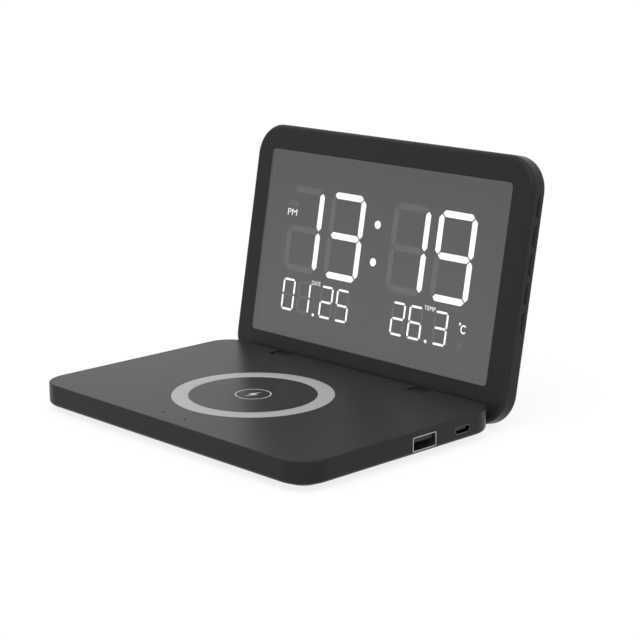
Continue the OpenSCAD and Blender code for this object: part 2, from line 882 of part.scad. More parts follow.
module charger_board() {
    color(board_colour)
        on_base()
            difference() {
                translate([board_x0, board_y0, board_top - board_t])
                    cube([board_w, board_d, board_t]);
                translate([mouth_x - usb_a_l - socket_gap, usb_a_y - usb_a_w / 2 - socket_gap, -past])
                    cube([usb_a_l + board_w, usb_a_w + 2 * socket_gap, base_h]);
                translate([foot_x, foot_y, -past])
                    cylinder(h = base_h, r = cup_r + head_gap);
                translate([0, 0, board_top - board_t - past])
                    for (place = board_screw_places)
                        translate([place[0], place[1], 0])
                            cylinder(h = board_t + 2 * past, d = small_screw_d + 2 * head_gap);
            }
}

module power_inductor() {
    color([0.25, 0.25, 0.26])
        on_base()
            translate([board_x0 + inductor_x, board_y0 + inductor_y, board_top])
                linear_extrude(inductor_h)
                    round_rect(inductor_w, inductor_w, inductor_r);
}

module charger_chips() {
    color([0.1, 0.1, 0.11])
        on_base()
            translate([board_x0, board_y0, board_top]) {
                translate([charge_chip_x, charge_chip_y, 0])
                    cube([charge_chip_w, charge_chip_w, charger_chip_h]);
                translate([supply_chip_x, supply_chip_y, 0])
                    cube([supply_chip_w, supply_chip_w, charger_chip_h]);
                translate([guard_chip_x, guard_chip_y, 0])
                    cube([guard_chip_w, guard_chip_w, charger_chip_h]);
                translate([bridge_chip_x, bridge_chip_y, 0])
                    cube([bridge_chip_w, bridge_chip_w, charger_chip_h]);
            }
}

module board_screws() {
    color(metal_colour)
        on_base() {
            for (place = board_screw_places)
                translate([place[0], place[1], board_top - board_t])
                    screw(small_screw_d, small_shank_l, small_head_r, wafer_head_h);
            for (s = [-1, 1])
                translate([s * light_post_x, light_board_y, light_board_z])
                    screw(small_screw_d, small_shank_l - blind_gap, small_head_r, wafer_head_h);
        }
}

module harness_connector() {
    color([0.9, 0.88, 0.8])
        on_base()
            difference() {
                translate([board_x0 + plug_edge, plug_y - plug_l / 2, board_top])
                    cube([plug_l, plug_l, 2 * (axis_up - board_top)]);
                translate([board_x0 + plug_edge, plug_y, axis_up])
                    rod_x(-past, plug_l / 2, harness_r + screw_gap);
            }
}

// Sockets

module usb_a_shell() {
    color(metal_colour)
        on_base()
            translate([mouth_x - usb_a_l, usb_a_y, usb_a_z])
                rotate([90, 0, 90])
                    difference() {
                        linear_extrude(usb_a_l) round_rect(usb_a_w, usb_a_h, usb_corner_r);
                        translate([0, 0, socket_wall])
                            linear_extrude(usb_a_l)
                                square([usb_a_inner_w, usb_a_inner_h], center = true);
                    }
}

module usb_a_tongue() {
    back = socket_wall + tongue_gap;
    block_w = usb_a_inner_w - 2 * tongue_gap;
    block_h = usb_a_inner_h - 2 * tongue_gap;
    color([0.12, 0.12, 0.13])
        on_base()
            translate([mouth_x - usb_a_l, usb_a_y, usb_a_z]) {
                translate([back, -block_w / 2, -block_h / 2])
                    cube([usb_a_block_l - back, block_w, block_h]);
                translate([usb_a_block_l, -usb_a_tongue_w / 2, usb_a_tongue_z])
                    cube([usb_a_l - usb_a_block_l - tongue_front, usb_a_tongue_w, usb_a_tongue_h]);
            }
}

module usb_a_contacts() {
    contact_w = 1;
    contact_t = 0.2;
    contact_l = 6.4;
    pitches = [-3.5, -1, 1, 3.5];
    color([0.85, 0.68, 0.3])
        on_base()
            translate([mouth_x - usb_a_l + usb_a_block_l, usb_a_y, usb_a_z + usb_a_tongue_z - contact_t])
                for (p = pitches)
                    translate([0, p - contact_w / 2, 0])
                        cube([contact_l, contact_w, contact_t]);
}

module usb_c_shell() {
    color(metal_colour)
        on_base()
            translate([mouth_x - usb_c_l, usb_c_y, usb_c_z])
                rotate([90, 0, 90])
                    difference() {
                        linear_extrude(usb_c_l) pill(usb_c_w, usb_c_h);
                        translate([0, 0, socket_wall])
                            linear_extrude(usb_c_l)
                                pill(usb_c_w - 2 * socket_wall, usb_c_h - 2 * socket_wall);
                    }
}

module usb_c_tongue() {
    back = socket_wall + tongue_gap;
    block_l = 2.2;
    tongue_w = 6.7;
    tongue_h = 0.7;
    inset = 2 * socket_wall + 2 * tongue_gap;
    color([0.12, 0.12, 0.13])
        on_base()
            translate([mouth_x - usb_c_l, usb_c_y, usb_c_z])
                rotate([90, 0, 90]) {
                    translate([0, 0, back])
                        linear_extrude(block_l - back)
                            pill(usb_c_w - inset, usb_c_h - inset);
                    translate([0, 0, block_l])
                        linear_extrude(usb_c_l - block_l - tongue_front)
                            square([tongue_w, tongue_h], center = true);
                }
}

// Indicator lights

module indicator_board() {
    color(board_colour)
        on_base()
            difference() {
                translate([-light_board_w / 2, light_board_y - light_board_d / 2, light_board_z])
                    cube([light_board_w, light_board_d, board_t]);
                for (s = [-1, 1])
                    translate([s * light_post_x, light_board_y, light_board_z - past])
                        cylinder(h = board_t + 2 * past, d = small_screw_d + 2 * head_gap);
            }
}

module indicator_leds() {
    color([0.95, 0.95, 0.85])
        on_base()
            for (s = [-1, 1])
                translate([s * pipe_pitch / 2 - led_w / 2, light_board_y - led_d / 2, light_board_top])
                    cube([led_w, led_d, led_h]);
}

module light_pipes() {
    low = light_board_top + led_h + pipe_led_gap;
    color([0.85, 0.88, 0.9, 0.6])
        on_base()
            for (s = [-1, 1])
                translate([s * pipe_pitch / 2, light_board_y, 0]) {
                    translate([0, 0, low]) cylinder(h = base_h - pipe_recess - low, d = pipe_d);
                    translate([0, 0, ceiling_z - pipe_collar_h])
                        cylinder(h = pipe_collar_h, d = pipe_collar_d);
                }
}

// Hinge, base side

module hinge_bracket(side) {
    color([0.5, 0.5, 0.52])
        on_base()
            difference() {
                union() {
                    translate([side * bracket_mid_x, axis_y, axis_up]) {
                        rod_x(-barrel_l / 2, barrel_l / 2, barrel_r);
                        translate([-barrel_l / 2, -bracket_l, -bracket_t / 2])
                            cube([barrel_l, bracket_l, bracket_t]);
                    }
                }
                translate([side * bracket_mid_x, axis_y, axis_up])
                    rod_x(-barrel_l / 2 - past, barrel_l / 2 + past, bore_r);
                for (y = bracket_screw_y)
                    translate([side * bracket_mid_x, y, axis_up - barrel_r])
                        cylinder(h = 2 * barrel_r, d = small_screw_d + 2 * head_gap);
            }
}

module hinge_bracket_left() {
    hinge_bracket(-1);
}

module hinge_bracket_right() {
    hinge_bracket(1);
}

module hinge_bracket_screws() {
    color(metal_colour)
        on_base()
            for (place = bracket_screw_places)
                translate([place[0], place[1], axis_up - bracket_t / 2])
                    screw(small_screw_d, small_shank_l - blind_gap, small_head_r, small_head_h);
}

module base_harness() {
    last_x = harness_turn_x - 2 * harness_bend;
    color([0.15, 0.15, 0.16])
        on_base()
            translate([0, 0, axis_up]) {
                translate([0, plug_y, 0])
                    rod_x(harness_turn_x, board_x0 + plug_edge + plug_l / 2, harness_r);
                translate([harness_turn_x, plug_y, 0])
                    mirror([1, 0, 0])
                        wire_bend(harness_r, harness_bend);
                translate([harness_turn_x - harness_bend, plug_y + harness_bend, 0])
                    rotate([-90, 0, 0])
                        cylinder(h = axis_y - plug_y - 2 * harness_bend, r = harness_r);
                translate([last_x, axis_y, 0])
                    mirror([0, 1, 0])
                        wire_bend(harness_r, harness_bend);
                translate([0, axis_y, 0])
                    rod_x(-splice_x + splice_gap, last_x, harness_r);
            }
}

// Hinge, screen side. The axis lies hinge_reach in front of the screen's front face.

module hinge_arm(side) {
    color([0.16, 0.16, 0.17])
        on_screen()
            difference() {
                union() {
                    translate([side * hinge_x, -hinge_reach, hinge_rise])
                        rod_x(-knuckle_w / 2, knuckle_w / 2, knuckle_r);
                    translate([side * hinge_x - knuckle_w / 2, -hinge_reach, neck_low])
                        cube([knuckle_w, hinge_reach + leaf_back, neck_h]);
                    translate([side * hinge_x - leaf_w / 2, leaf_face, leaf_low])
                        cube([leaf_w, leaf_t, leaf_top - leaf_low]);
                }
                translate([side * hinge_x, -hinge_reach, hinge_rise])
                    rod_x(-knuckle_w, knuckle_w, pin_r + press_gap);
                for (s = [-1, 1])
                    translate([side * hinge_x + s * leaf_screw_x, leaf_face - past, leaf_screw_z])
                        rotate([-90, 0, 0]) {
                            cylinder(h = leaf_t + 2 * past, d = small_screw_d + 2 * head_gap);
                            cylinder(h = small_head_h + past, r = small_head_r + head_gap / 2);
                        }
                if (side < 0)
                    translate([harness_out_x, -hinge_reach, hinge_rise])
                        rotate([-90, 0, 0])
                            cylinder(h = hinge_reach + leaf_back + past, r = harness_r + harness_gap);
            }
}

module hinge_arm_left() {
    hinge_arm(-1);
}

module hinge_arm_right() {
    hinge_arm(1);
}

module hinge_pin_left() {
    color(metal_colour)
        on_screen()
            translate([-hinge_x, -hinge_reach, hinge_rise])
                rod_x(-pin_end_x, -bush_end_x, pin_r);
}

module hinge_pin_right() {
    color(metal_colour)
        on_screen()
            translate([hinge_x, -hinge_reach, hinge_rise])
                rod_x(-pin_inner_x, pin_end_x, pin_r);
}

module hinge_bush_left() {
    color([0.8, 0.66, 0.35])
        on_screen()
            translate([-hinge_x, -hinge_reach, hinge_rise])
                difference() {
                    rod_x(bush_end_x, bush_inner_x, pin_r);
                    rod_x(bush_end_x - past, bush_inner_x + past, bush_bore_d / 2);
                }
}

module hinge_arm_screws() {
    color(metal_colour)
        on_screen()
            for (side = [-1, 1])
                for (s = [-1, 1])
                    translate([side * hinge_x + s * leaf_screw_x, leaf_face + small_head_h, leaf_screw_z])
                        rotate([-90, 0, 0])
                            screw(small_screw_d, small_shank_l, small_head_r, small_head_h - head_sink);
}

module screen_harness() {
    rise_y = (leaf_back + rear_face) / 2;
    color([0.15, 0.15, 0.16])
        on_screen() {
            translate([0, -hinge_reach, hinge_rise]) {
                rod_x(harness_out_x + harness_elbow, -splice_x, harness_r);
                translate([harness_out_x + harness_elbow, 0, 0])
                    mirror([1, 0, 0])
                        wire_bend(harness_r, harness_elbow);
                translate([harness_out_x, harness_elbow, 0])
                    rotate([-90, 0, 0])
                        cylinder(h = hinge_reach + rise_y - screen_bend - harness_elbow, r = harness_r);
            }
            translate([harness_out_x, rise_y - screen_bend, hinge_rise])
                rotate([90, 0, 90])
                    wire_bend(harness_r, screen_bend);
            translate([harness_out_x, rise_y, hinge_rise + screen_bend])
                cylinder(h = connector_z - hinge_rise - screen_bend, r = harness_r);
        }
}

// Screen housing and display

module front_bezel() {
    lip_w = window_w - 2 * lens_ledge;
    lip_h = window_h - 2 * lens_ledge;
    rim_w = screen_inner_w - 2 * rim_gap;
    rim_h = screen_inner_h - 2 * rim_gap;
    rim_r = screen_inner_r - rim_gap;
    neck_cut_w = knuckle_w + 2 * neck_gap;
    neck_cut_l = bezel_t + rim_depth + 2 * past;
    color(case_colour)
        on_screen()
            difference() {
                union() {
                    screen_slab(0, bezel_t, screen_front_r, 0);
                    in_screen(bezel_t / 2, bezel_t + rim_depth)
                        translate([0, screen_h / 2])
                            difference() {
                                round_rect(rim_w, rim_h, rim_r);
                                round_rect(rim_w - 2 * rim_t, rim_h - 2 * rim_t, rim_r - rim_t);
                            }
                }
                in_screen(-past, lens_t)
                    translate([0, window_mid_z])
                        round_rect(window_w, window_h, window_r);
                in_screen(-past, bezel_t + past)
                    translate([0, window_mid_z])
                        square([lip_w, lip_h], center = true);
                for (side = [-1, 1])
                    translate([side * hinge_x - neck_cut_w / 2, -past, neck_low - neck_gap])
                        cube([neck_cut_w, neck_cut_l, neck_h + 2 * neck_gap]);
            }
}

module display_lens() {
    color([0.3, 0.3, 0.31, 0.5])
        on_screen()
            in_screen(0, lens_t)
                translate([0, window_mid_z])
                    round_rect(window_w - 2 * lens_gap, window_h - 2 * lens_gap, window_r - lens_gap);
}

module diffuser_sheet() {
    color([0.4, 0.4, 0.41])
        on_screen()
            in_screen(diffuser_face, reflector_face)
                translate([0, window_mid_z])
                    square([panel_w, panel_h], center = true);
}

// One stroke of a digit, pointed at both ends, long along X
module stroke(l, w) {
    polygon([
        [-l / 2, 0], [-l / 2 + w / 2, w / 2], [l / 2 - w / 2, w / 2],
        [l / 2, 0], [l / 2 - w / 2, -w / 2], [-l / 2 + w / 2, -w / 2]
    ]);
}

// The seven strokes of a digit. The hours' first digit has no upper left one.
module digit(stroke_x, stroke_z, w, gap, upper_left) {
    tips = sqrt(2) * gap;
    for (level = [-1 : 1])
        translate([0, level * stroke_z])
            stroke(stroke_x - tips, w);
    for (sx = [-1, 1])
        for (sz = [-1, 1])
            if (upper_left || sx > 0 || sz < 0)
                translate([sx * stroke_x / 2, sz * stroke_z / 2])
                    rotate(90)
                        stroke(stroke_z - tips, w);
}

// Every light well of the display, seen from the front
module light_wells() {
    for (i = [0 : 3])
        translate([time_digits[i], time_z])
            digit(time_stroke_x, time_stroke_z, time_stroke_w, time_stroke_gap, i > 0);
    for (s = [-1, 1])
        translate([colon_x, time_z + s * colon_pitch / 2])
            circle(colon_r);
    for (x = concat(date_digits, temp_digits))
        translate([x, small_z])
            digit(small_stroke_x, small_stroke_z, small_stroke_w, small_stroke_gap, true);
    for (x = [date_digits[1], temp_digits[1]])
        translate([x + point_pitch / 2, small_z - small_stroke_z])
            circle(point_r);
}

module segment_reflector() {
    color([0.93, 0.93, 0.92])
        on_screen()
            in_screen(reflector_face, display_face)
                difference() {
                    translate([0, window_mid_z]) square([panel_w, panel_h], center = true);
                    light_wells();
                }
}

module display_board() {
    color(board_colour)
        on_screen()
            in_screen(display_face, display_back)
                translate([0, display_mid_z])
                    difference() {
                        square([display_board_w, display_board_h], center = true);
                        at_corners(display_post_x, display_post_z)
                            circle(d = small_screw_d + 2 * head_gap);
                    }
}

module display_board_screws() {
    shank_l = small_shank_l - blind_gap;
    color(metal_colour)
        on_screen()
            for (sx = [-1, 1])
                for (sz = [-1, 1])
                    translate([sx * display_post_x, display_face, display_mid_z + sz * display_post_z])
                        rotate([-90, 0, 0])
                            screw(small_screw_d, shank_l, small_head_r, small_head_h - head_sink);
}

module clock_chip() {
    color([0.1, 0.1, 0.11])
        on_screen()
            in_screen(display_back, display_back + chip_t)
                translate([0, chip_z])
                    square(chip_w, center = true);
}

module display_connector() {
    color([0.9, 0.88, 0.8])
        on_screen()
            in_screen(display_back, rear_face - component_gap)
                translate([harness_out_x, connector_z + connector_l / 2])
                    square([connector_w, connector_l], center = true);
}

module buzzer() {
    buzzer_back = rear_face - component_gap;
    color([0.13, 0.13, 0.14])
        on_screen()
            difference() {
                in_screen(display_back, buzzer_back)
                    translate([buzzer_x, buzzer_z])
                        circle(d = buzzer_d);
                in_screen(buzzer_back - sound_depth, buzzer_back + past)
                    translate([buzzer_x, buzzer_z])
                        circle(d = sound_hole_d);
            }
}

module backup_cell_holder() {
    color([0.16, 0.16, 0.17])
        on_screen()
            difference() {
                in_screen(display_back, display_back + cell_floor + cell_t + cell_lip)
                    translate([cell_x, cell_z])
                        square([cell_d + 2 * holder_side, cell_d + 2 * holder_end], center = true);
                in_screen(display_back + cell_floor, rear_face + past)
                    translate([cell_x, cell_z])
                        circle(d = cell_d + 2 * cell_gap);
            }
}

module backup_cell() {
    color(metal_colour)
        on_screen()
            in_screen(display_back + cell_floor, display_back + cell_floor + cell_t)
                translate([cell_x, cell_z])
                    circle(d = cell_d);
}

module temperature_sensor() {
    color([0.2, 0.2, 0.22])
        on_screen()
            in_screen(display_back, display_back + sensor_t)
                translate([sensor_x, sensor_z])
                    pill(sensor_l, sensor_w);
}

// Buttons and their switches

module edge_outline(l, w, x0, x1) {
    translate([x0, 0, 0])
        rotate([0, 90, 0])
            linear_extrude(x1 - x0)
                pill(l, w);
}

// Puts a copy at the place of one button, counted from the top
module at_button(i) {
    translate([0, button_depth, button_top_z - i * button_pitch])
        children();
}

module side_switches() {
    front = button_in_x - button_rest_gap - button_flange_t - switch_gap;
    color([0.7, 0.7, 0.68])
        on_screen()
            for (i = [0 : 4])
                at_button(i) {
                    translate([front - plunger_out - switch_w, display_back - button_depth, -switch_l / 2])
                        cube([switch_w, component_room - component_gap, switch_l]);
                    translate([front - plunger_out, -plunger_w / 2, -plunger_l / 2])
                        cube([plunger_out, plunger_w, plunger_l]);
                }
}

module side_button(i) {
    seat = button_in_x - button_rest_gap;
    color(case_colour)
        on_screen()
            at_button(i) {
                edge_outline(button_l, button_w, seat, base_w / 2 + button_proud);
                edge_outline(button_flange_l, button_flange_w, seat - button_flange_t, seat);
            }
}

module side_button_1() {
    side_button(0);
}

module side_button_2() {
    side_button(1);
}

module side_button_3() {
    side_button(2);
}

module side_button_4() {
    side_button(3);
}

module side_button_5() {
    side_button(4);
}

module rear_cover() {
    color(case_colour)
        on_screen()
            difference() {
                union() {
                    difference() {
                        screen_slab(bezel_t, screen_t, 0, screen_rear_r);
                        in_screen(bezel_t - past, rear_face)
                            translate([0, screen_h / 2])
                                round_rect(screen_inner_w, screen_inner_h, screen_inner_r);
                    }
                    in_screen(display_back, rear_face + rear_t / 2)
                        translate([0, display_mid_z])
                            at_corners(display_post_x, display_post_z)
                                circle(small_boss_r);
                    in_screen(leaf_back, rear_face + rear_t / 2)
                        for (side = [-1, 1])
                            for (s = [-1, 1])
                                translate([side * hinge_x + s * leaf_screw_x, leaf_screw_z])
                                    circle(small_boss_r);
                }
                in_screen(display_back - past, display_face + small_shank_l)
                    translate([0, display_mid_z])
                        at_corners(display_post_x, display_post_z)
                            circle(d = small_screw_d + 2 * screw_gap);
                in_screen(leaf_back - past, leaf_face + small_head_h + small_shank_l + blind_gap)
                    for (side = [-1, 1])
                        for (s = [-1, 1])
                            translate([side * hinge_x + s * leaf_screw_x, leaf_screw_z])
                                circle(d = small_screw_d + 2 * screw_gap);
                for (i = [0 : 4])
                    at_button(i)
                        edge_outline(button_l + 2 * button_gap, button_w + 2 * button_gap,
                            button_in_x - past, base_w / 2 + past);
                in_screen(rear_face - past, screen_t + past)
                    translate([buzzer_x, buzzer_z]) {
                        circle(d = sound_hole_d);
                        for (turn = [0 : 5])
                            rotate(60 * turn)
                                translate([sound_pitch, 0])
                                    circle(d = sound_hole_d);
                    }
            }
}

base_top_cover();
base_bottom_cover();
rubber_feet();
base_screws();
charging_ring();
charging_coil();
ferrite_shield();
coil_leads();
charger_board();
power_inductor();
charger_chips();
board_screws();
harness_connector();
usb_a_shell();
usb_a_tongue();
usb_a_contacts();
usb_c_shell();
usb_c_tongue();
indicator_board();
indicator_leds();
light_pipes();
hinge_bracket_left();
hinge_bracket_right();
hinge_bracket_screws();
base_harness();
hinge_arm_left();
hinge_arm_right();
hinge_pin_left();
hinge_pin_right();
hinge_bush_left();
hinge_arm_screws();
screen_harness();
front_bezel();
display_lens();
diffuser_sheet();
segment_reflector();
display_board();
display_board_screws();
clock_chip();
display_connector();
buzzer();
backup_cell_holder();
backup_cell();
temperature_sensor();
side_switches();
rear_cover();
side_button_1();
side_button_2();
side_button_3();
side_button_4();
side_button_5();
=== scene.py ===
# %% [markdown]
# # A folding bedside clock with a charging pad
# The clock is two slabs of black plastic on one hinge: a base that charges a phone, and a screen that
# stands up behind it. The shapes come in as a packed assembly, so this lesson does the rest: it dresses
# every piece in a finish, models the soft, lit and printed pieces, and sets up a light, a floor and a
# camera.

import json
from math import atan2, pi, radians

import bmesh
import bpy
from mathutils import Matrix, Vector


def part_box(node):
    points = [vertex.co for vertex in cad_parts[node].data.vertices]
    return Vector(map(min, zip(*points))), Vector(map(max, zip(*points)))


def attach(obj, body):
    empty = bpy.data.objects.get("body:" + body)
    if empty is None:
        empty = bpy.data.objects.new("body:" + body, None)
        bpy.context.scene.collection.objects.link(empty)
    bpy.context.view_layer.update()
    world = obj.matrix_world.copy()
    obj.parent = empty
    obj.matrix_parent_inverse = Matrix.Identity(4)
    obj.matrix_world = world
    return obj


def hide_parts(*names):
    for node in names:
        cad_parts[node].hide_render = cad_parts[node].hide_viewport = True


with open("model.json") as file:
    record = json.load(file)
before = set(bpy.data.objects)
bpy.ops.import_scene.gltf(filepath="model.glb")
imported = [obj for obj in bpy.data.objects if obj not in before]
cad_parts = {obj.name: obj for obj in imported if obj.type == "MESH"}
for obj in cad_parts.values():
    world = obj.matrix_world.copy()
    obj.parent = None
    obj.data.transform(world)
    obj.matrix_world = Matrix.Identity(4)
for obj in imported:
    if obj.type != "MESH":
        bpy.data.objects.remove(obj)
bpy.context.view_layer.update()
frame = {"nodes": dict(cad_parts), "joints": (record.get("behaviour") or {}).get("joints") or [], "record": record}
nodes = frame["nodes"]

# %% [markdown]
# ## Where things are
# Sizes on the clock are easier to think about in millimetres, and places on the screen are easier to
# give as "so far from its middle, so far above its lower edge". The screen leans back about the hinge,
# so one matrix carries such a place into the clock's own frame. It starts from the hinge's axis, which
# the frame gives.

# %% Millimetres, and a matrix for the leaning screen
MM = 0.001
TO_METRES = Matrix.Scale(MM, 4)
SCREEN_LEAN = radians(10)
FACE_BEHIND_AXIS = 5.3
AXIS_ABOVE_EDGE = 4.85

fold = next(joint for joint in frame["joints"] if joint["name"] == "screen_fold")
screen_place = (
    Matrix.Translation(fold["pos_m"])
    @ Matrix.Rotation(-SCREEN_LEAN, 4, "X")
    @ Matrix.Translation(Vector((0, FACE_BEHIND_AXIS, -AXIS_ABOVE_EDGE)) * MM)
)
print("the hinge's axis is at", list(fold["pos_m"]), "m")

# %% [markdown]
# ## Camera
# A product photo like this is taken from a little above and from the right, with a long lens so that
# the slabs keep their straight look. The camera could be placed by trial, but it also follows from the
# clock's own edges: lines that are parallel on the clock meet at two points in the picture, and these
# two points give the angles and the lens.

# %% The camera
# The lens and the sensor are in millimetres, the place is in metres, and the angles are in degrees.
LENS = 100.15
SENSOR = 36
CAMERA_PLACE = (0.51549, -0.484595, 0.20989)
CAMERA_LOOKS_DOWN = 13.4996
CAMERA_TURNS_LEFT = 45.6714

camera_data = bpy.data.cameras.new("camera")
camera_data.lens = LENS
camera_data.sensor_width = SENSOR
camera = bpy.data.objects.new("camera", camera_data)
camera.location = CAMERA_PLACE
camera.rotation_euler = (radians(90 - CAMERA_LOOKS_DOWN), 0, radians(CAMERA_TURNS_LEFT))
bpy.context.scene.collection.objects.link(camera)
bpy.context.scene.camera = camera
print("camera", round(camera.location.length, 3), "m from the clock, lens", LENS, "mm")

# %% [markdown]
# ## Light
# The clock stands in a white light tent: light comes from everywhere, a little more from above and in
# front. The world could be a picture of a studio, but a plain white one is enough for satin plastic.
# What the camera sees directly or in a reflection is full white, and the light that falls on the clock
# is lower. A Light Path node tells the two apart.

# %% The white room
LIGHT_FROM_ROOM = 0.6

scene = bpy.context.scene
scene.view_settings.view_transform = "Standard"


def feed(tree, value, socket):
    """Links a socket to another one, or sets it to a number."""
    if isinstance(value, bpy.types.NodeSocket):
        tree.links.new(value, socket)
    else:
        socket.default_value = value


def between(tree, share, low, high):
    """A value that runs from low to high as share runs from 0 to 1; both are numbers or sockets."""
    fit = tree.nodes.new("ShaderNodeMapRange")
    for value, name in ((share, "Value"), (low, "To Min"), (high, "To Max")):
        feed(tree, value, fit.inputs[name])
    return fit.outputs["Result"]


def seen_rays(tree):
    """A socket that is 1 for rays from the camera, from a reflection or through glass."""
    rays = tree.nodes.new("ShaderNodeLightPath").outputs
    total = rays["Is Camera Ray"]
    for name in ("Is Glossy Ray", "Is Transmission Ray"):
        larger = tree.nodes.new("ShaderNodeMath")
        larger.operation = "MAXIMUM"
        tree.links.new(total, larger.inputs[0])
        tree.links.new(rays[name], larger.inputs[1])
        total = larger.outputs[0]
    return total


room = bpy.data.worlds.new("white_room")
room.use_nodes = True
background = room.node_tree.nodes["Background"]
background.inputs["Color"].default_value = (1, 1, 1, 1)
room_level = between(room.node_tree, seen_rays(room.node_tree), LIGHT_FROM_ROOM, 1)
room.node_tree.links.new(room_level, background.inputs["Strength"])
scene.world = room
print("the room looks white and lights the clock at", LIGHT_FROM_ROOM)

# %% [markdown]
# The stronger side is a lamp above and in front. A large area lamp would do, but it lights what is near
# more than what is far. A sun with a very wide disc shades just as softly and lights the whole floor
# evenly.

# %% The wide lamp
WIDE_LAMP = 1.3
LAMP_DISC = radians(70)
LAMP_RAYS = (-0.3, 0.45, -1)

wide_lamp = bpy.data.lights.new("wide_lamp", "SUN")
wide_lamp.energy = WIDE_LAMP
wide_lamp.angle = LAMP_DISC
wide_lamp_object = bpy.data.objects.new("wide_lamp", wide_lamp)
wide_lamp_object.rotation_euler = Vector(LAMP_RAYS).to_track_quat("-Z", "Y").to_euler()
scene.collection.objects.link(wide_lamp_object)
print("the lamp's rays run along", LAMP_RAYS)

# %% [markdown]
# ## Floor
# The floor is a white sheet. It throws light back onto the clock as any sheet does. For the camera it is
# darker but glows, which brings the unshaded part up to white and leaves a weak, soft shadow, as in a
# light tent. More lamps would whiten the sheet too, but they would also light the clock.

# %% The white sheet
FLOOR_WHITE = 0.36
FLOOR_SEEN = 0.22
FLOOR_GLOW = 0.82
FLOOR_REACH = 8
FLOOR_CELLS = 8

floor_finish = bpy.data.materials.new("white_sheet")
floor_finish.use_nodes = True
floor_tree = floor_finish.node_tree
floor_tree.nodes.clear()
sheet = floor_tree.nodes.new("ShaderNodeBsdfDiffuse")
glow = floor_tree.nodes.new("ShaderNodeEmission")
both = floor_tree.nodes.new("ShaderNodeAddShader")
floor_out = floor_tree.nodes.new("ShaderNodeOutputMaterial")
seen = seen_rays(floor_tree)
floor_tree.links.new(between(floor_tree, seen, FLOOR_WHITE, FLOOR_SEEN), sheet.inputs["Color"])
floor_tree.links.new(between(floor_tree, seen, 0, FLOOR_GLOW), glow.inputs["Strength"])
floor_tree.links.new(sheet.outputs[0], both.inputs[0])
floor_tree.links.new(glow.outputs[0], both.inputs[1])
floor_tree.links.new(both.outputs[0], floor_out.inputs["Surface"])

floor_bm = bmesh.new()
bmesh.ops.create_grid(floor_bm, x_segments=FLOOR_CELLS, y_segments=FLOOR_CELLS, size=FLOOR_REACH)
floor_mesh = bpy.data.meshes.new("floor")
floor_bm.to_mesh(floor_mesh)
floor_bm.free()
floor_mesh.materials.append(floor_finish)
floor = bpy.data.objects.new("floor", floor_mesh)
scene.collection.objects.link(floor)
print("the floor reaches", FLOOR_REACH, "m each way, with", len(floor_mesh.polygons), "faces")

# %% [markdown]
# ## Shared effects
# Most finishes here share a few effects: the fine grain of a mould, the lines of drawn metal, and the
# copper paths of a circuit board. Each could be built anew in every material. As a node group it is
# built once and placed in each finish with its own values. A group puts out what changes over the
# surface, under the name of the shader's socket that it feeds.

# %% Helpers for node groups
SURFACE_TAKES = {
    "Vector": "Vector", "Colour": "Color", "Shade": "Color", "Gloss": "Float", "Matt": "Float",
}
SURFACE_GIVES = {"Base Color": "Color", "Roughness": "Float", "Height": "Float"}
# A Mix node has sockets of one name for numbers, vectors and colours, so its sockets go by number.
MIX_SHARE, MIX_FIRST, MIX_SECOND, MIX_RESULT = 0, 6, 7, 2


def new_group(name, takes, gives):
    """An empty shader node group with these sockets, what it takes and what it gives."""
    tree = bpy.data.node_groups.new(name, "ShaderNodeTree")
    for sockets, way in ((takes, "INPUT"), (gives, "OUTPUT")):
        for socket, kind in sockets.items():
            tree.interface.new_socket(socket, in_out=way, socket_type="NodeSocket" + kind)
    return tree, tree.nodes.new("NodeGroupInput").outputs, tree.nodes.new("NodeGroupOutput").inputs


def noise(tree, vector, scale, detail):
    """A noise from 0 to 1, where scale is a number or a socket."""
    texture = tree.nodes.new("ShaderNodeTexNoise")
    texture.inputs["Detail"].default_value = detail
    tree.links.new(vector, texture.inputs["Vector"])
    feed(tree, scale, texture.inputs["Scale"])
    return texture.outputs[0]


def blend_colours(tree, share, first, second):
    """A colour between two sockets' colours."""
    mix = tree.nodes.new("ShaderNodeMix")
    mix.data_type = "RGBA"
    tree.links.new(share, mix.inputs[MIX_SHARE])
    tree.links.new(first, mix.inputs[MIX_FIRST])
    tree.links.new(second, mix.inputs[MIX_SECOND])
    return mix.outputs[MIX_RESULT]


def vary(tree, share, taken, given):
    """Lets colour and roughness run between their two values as share runs from 0 to 1."""
    tree.links.new(blend_colours(tree, share, taken["Colour"], taken["Shade"]), given["Base Color"])
    tree.links.new(between(tree, share, taken["Gloss"], taken["Matt"]), given["Roughness"])


print("a surface group takes", ", ".join(SURFACE_TAKES), "and gives", ", ".join(SURFACE_GIVES))

# %% [markdown]
# Moulded plastic and rubber take on the fine, matt grain of their mould, and their colour and gloss
# drift a little over a large face. A picture of the grain would need unwrapped faces. Noise in the
# piece's own coordinates needs none: a fine one makes the relief, and a wide one the drift.

# %% Grain of a moulded surface
DRIFT_SCALE, DRIFT_DETAIL = 22, 3
GRAIN_DETAIL = 2

grain, taken, given = new_group("moulded_grain", SURFACE_TAKES | {"Grain": "Float"}, SURFACE_GIVES)
vary(grain, noise(grain, taken["Vector"], DRIFT_SCALE, DRIFT_DETAIL), taken, given)
grain.links.new(noise(grain, taken["Vector"], taken["Grain"], GRAIN_DETAIL), given["Height"])
print(grain.name, "has", len(grain.nodes), "nodes")

# %% [markdown]
# Drawn wire and rolled sheet carry fine lines along the way they were pulled. They could be modelled as
# grooves, but they are far too fine for that. Noise that is squeezed along some axes makes them, and
# Stretch says how much along each.

# %% Lines of drawn or rolled metal
LINE_SCALE, LINE_DETAIL = 1, 4

